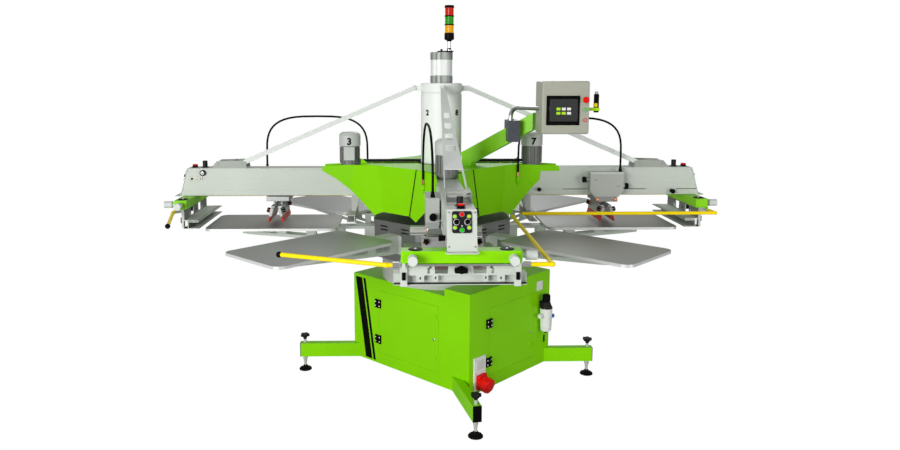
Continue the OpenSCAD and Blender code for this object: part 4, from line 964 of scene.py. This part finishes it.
# %% Hinges, catches and stripes
SIDE_FACE = -0.412
HINGE_HEIGHTS = (0.2645, 0.5045)
on_side, on_face = rotation(90, "X"), rotation(90) @ rotation(90, "X")
for z in HINGE_HEIGHTS:
    for door, place, turn in (("left", (-0.26, SIDE_FACE, z), on_side),
                              ("right", (FACE, -0.225, z), on_face)):
        stand, mark, wing = CABINET @ shift(place) @ turn, round(z * 1000), door + "_door"
        sleeve = turned("hinge_%s_sleeve_%d" % (door, mark), [(0.0076, 0), (0.0076, 0.0166)],
                        (-0.008, -0.0083, 0.008), Y_AXIS, 24)
        fit(move(sleeve, stand), black, wing)
        for part, low, high, body in (("frame", -0.033, -0.0162, "machine"),
                                      ("door", 0.0002, 0.019, wing)):
            name = "hinge_%s_%s_%d" % (door, part, mark)
            leaf = block(name, (low, -0.0285, 0), (high, 0.0285, 0.011), 0.0025)
            fit(move(leaf, stand), black, body)
            dots = [turned("dot", [(0.0048, 0), (0.0048, 0.001), (0.003, 0.0018)],
                           ((low + high) / 2, y, 0.0108), sides=12) for y in (-0.014, 0.014)]
            fit(move(join(name + "_screws", dots), stand), label_white, body, "steel")
for door, place, along in (("left", (0.2215, SIDE_FACE, 0.38), MINUS_Y),
                           ("right", (FACE, 0.196, 0.345), X_AXIS)):
    latch = turned("latch_" + door, [(0.0085, 0), (0.0085, 0.0015), (0.007, 0.0025), (0.003, 0.0025)],
                   place, along, 24)
    fit(move(latch, CABINET), steel, door + "_door")
for name, foot_x, top_x, width in (("wide", -0.392, -0.486, 0.062), ("slim", -0.318, -0.412, 0.022)):
    band = outline("stripe_" + name, [(foot_x, 0.112), (foot_x + width, 0.112), (top_x + width, 0.65),
                                      (top_x, 0.65)], 0.0006)
    on_cabinet(move(band, shift((0, SIDE_FACE, 0)) @ on_side), black)
print("hinges: 4, latches: 2")

# %% [markdown]
# ## Levelling feet
# Each foot is a rubber pad on a steel spindle, with a nut below the leg and a star knob on top. The whole
# foot turns as one, so its pieces ride on the foot's own body.

# %% Feet
FEET = {"left": (-0.914, 0.049), "right": (0.976, -0.076), "front": (0.144, -0.948), "rear": (0.0, 0.916)}
for side, (x, y) in FEET.items():
    body = "levelling_" + side
    pad = turned("pad_" + side, [(0.038, 0), (0.042, 0.002), (0.042, 0.008), (0.037, 0.014), (0.018, 0.019),
                                 (0.014, 0.03), (0.012, 0.034)], (x, y, 0), sides=40)
    fit(pad, rubber, body)
    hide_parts("foot_" + side)
    rod = [turned("rod", [(0.009, 0), (0.009, 0.212)], (x, y, 0.032), sides=24),
           turned("nut", [(0.0155, 0), (0.0165, 0.002), (0.0165, 0.02), (0.0155, 0.022)], (x, y, 0.0745),
                  sides=6),
           turned("cone", [(0.01, 0), (0.0125, 0.022)], (x, y, 0.052), sides=24)]
    fit(join("spindle_" + side, rod), cast_grey, body, "steel")
    knob = [at(star("star", 0.031, 0.019), x, y, 0.2325),
            turned("neck", [(0.011, 0), (0.015, 0.018)], (x, y, 0.2155), sides=24)]
    fit(join("foot_knob_" + side, knob), soft_black, body)
print("feet:", len(FEET))

# %% [markdown]
# ## Control box
# The box has soft edges, and a black bezel holds its display, which shows a few plain tiles. To its right sit
# the stop button and two ring buttons, and a small memory stick stands in a lime clip on the side. The stop
# button's neck and head ride on its own body, so that they sink when it is pressed.

# %% Display and buttons
box_at = measured_from(0.536, -0.62, 1.646)
RING_X, STOP_X, STOP_Z = 0.244, 0.241, 0.195


def on_panel(piece, finish, body="panel", slot=None):
    return fit(piece, finish, body, slot)


case = on_panel(block("control_case", box_at(-0.002, 0, 0), box_at(0.27, 0.2, 0.3), 0.011), box_grey)
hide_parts("control_box")
for name, low, high, edge, finish in (
        ("bezel", (0.0236, -0.006, 0.0513), (0.2127, 0.001, 0.2181), 0.003, black),
        ("rim", (0.035, -0.0066, 0.064), (0.204, -0.005, 0.2075), 0.0006, black),
        ("glass", (0.0416, -0.0074, 0.0734), (0.1999, -0.005, 0.199), 0.0006, screen_glass)):
    on_panel(block("display_" + name, box_at(*low), box_at(*high), edge), finish)
tiles = [block("tile", box_at(0.08 + 0.03 * i, -0.0082, 0.112 + 0.024 * j),
               box_at(0.102 + 0.03 * i, -0.007, 0.127 + 0.024 * j), 0.0002)
         for i in range(3) for j in range(2)]
on_panel(join("display_tiles", tiles[:3]), lime)
on_panel(join("display_fields", tiles[3:]), label_white)


def boss(name, rings, x, depth, z):
    """A turned piece that stands on the front of the box."""
    return turned(name, rings, box_at(x, depth, z), MINUS_Y)


for name, z, finish in (("start", 0.1395, go_green), ("pause", 0.0805, red)):
    seat = boss(name + "_seat", [(0.0125, 0), (0.0125, 0.004), (0.011, 0.005)], RING_X, 0.001, z)
    on_panel(seat, box_grey)
    ring = boss(name + "_ring", [(0.0098, 0), (0.0098, 0.003)], RING_X, -0.0035, z)
    on_panel(ring, finish, slot="red_plastic")
    on_panel(boss(name + "_cap", [(0.0062, 0), (0.0055, 0.004)], RING_X, -0.004, z), box_grey)
on_panel(boss("stop_collar", [(0.014, 0), (0.014, 0.0085), (0.0118, 0.0095), (0.0118, 0.0006)],
              STOP_X, 0.0005, STOP_Z), yellow)
neck = on_panel(boss("stop_neck", [(0.0105, 0), (0.0105, 0.02)], STOP_X, -0.0072, STOP_Z), black, "stop")
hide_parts("stop_button")
on_panel(boss("stop_mushroom", [(0.016, 0), (0.0185, 0.003), (0.0185, 0.011), (0.016, 0.016),
                                (0.011, 0.0175)], STOP_X, -0.026, STOP_Z), red, "stop")
for name, low, high, edge, finish in (
        ("stick_clip", (0.805, -0.5625, 1.7765), (0.879, -0.5335, 1.7945), 0.002, lime),
        ("memory_stick", (0.848, -0.5585, 1.7665), (0.875, -0.5375, 1.872), 0.0035, black),
        ("stick_plug", (0.853, -0.556, 1.8718), (0.87, -0.54, 1.8876), 0.001, steel),
        ("stick_band", (0.8477, -0.5588, 1.799), (0.865, -0.5372, 1.82), 0.001, yellow)):
    on_panel(block(name, low, high, edge), finish)
print("control box done")

# %% [markdown]
# ## Covers
# The open bays under the front and rear beams are edged with a black rubber bead, and five pairs of small
# screws hold each cover's top plate.

# %% Rubber beads and cover screws
for station in (1, 5):
    beads = [tube("bead", [Vector((0.4046, side * 0.17, 1.419)), Vector((0.3755, side * 0.2105, 1.132))],
                  0.008, 8) for side, hand in HANDS]
    fit(move(join("bay_bead_%d" % station, beads), turn_to(station)), rubber)
bolts = [turned("bolt", [(0.005, 0), (0.005, 0.0025), (0.003, 0.004)], (x, side * 0.052, 1.4195), sides=12)
         for x in (0.2, 0.3, 0.38, 0.45, 0.505) for side in (-1, 1)]
on_heads(join("cover_bolts", bolts), steel)
print("beads and bolts done")

# %% [markdown]
# ## Studio
# A pale floor and a white surround, as in a product picture. Both look pure white to the camera. The surround
# gives far less light than that to the machine, and a little more to its reflections. Three gentle lamps do
# the rest.

# %% Floor, world and lamps
SURROUND, MORE_IN_REFLECTIONS, MORE_TO_CAMERA = 0.32, 0.1, 0.68
WHITE, LAMP_SIZE = (1, 1, 1, 1), 3.0
clear_choice()
bpy.ops.mesh.primitive_plane_add(size=40, location=(0, 0, 0))
floor = named("studio_floor")
floor_skin = Finish("pale floor", (0.5, 0.5, 0.5), 0.9, Specular_IOR_Level=0.0)
seen = floor_skin.node("ShaderNodeLightPath", output="Is Camera Ray")
lit = Value(floor_skin, floor_skin.shader.outputs[0])
glow = floor_skin.node("ShaderNodeEmission", None, {"Color": WHITE})
both = floor_skin.node("ShaderNodeMixShader", None, {0: seen, 1: lit, 2: glow})
floor_skin.feed(floor_skin.tree.nodes["Material Output"].inputs, "Surface", both)
paint(floor, floor_skin)

world = scene.world = bpy.data.worlds.new("studio")
world.use_nodes = True
sky = Shading(world.node_tree)
back = sky.tree.nodes["Background"].inputs
in_reflections = sky.node("ShaderNodeLightPath", output="Is Glossy Ray")
to_camera = sky.node("ShaderNodeLightPath", output="Is Camera Ray")
level = to_camera * MORE_TO_CAMERA + (in_reflections * MORE_IN_REFLECTIONS + SURROUND)
sky.feed(back, "Strength", level)
sky.feed(back, "Color", WHITE)


def lamp(name, place, aim, watts):
    light = bpy.data.lights.new(name, "AREA")
    light.shape, light.size, light.energy = "SQUARE", LAMP_SIZE, watts
    thing = bpy.data.objects.new(name, light)
    thing.location = place
    thing.rotation_euler = (Vector(aim) - Vector(place)).to_track_quat("-Z", "Y").to_euler()
    scene.collection.objects.link(thing)


lamp("key", (-4.0, -6.6, 2.1), (0, 0, 0.6), 410)
lamp("fill", (4.6, -4.6, 1.3), (0, 0, 0.7), 105)
lamp("rim", (0.5, 4.5, 4.4), (0, 0, 1.2), 110)
print("lamps:", len(bpy.data.lights))

# %% Finish
scene.view_settings.view_transform = "Standard"
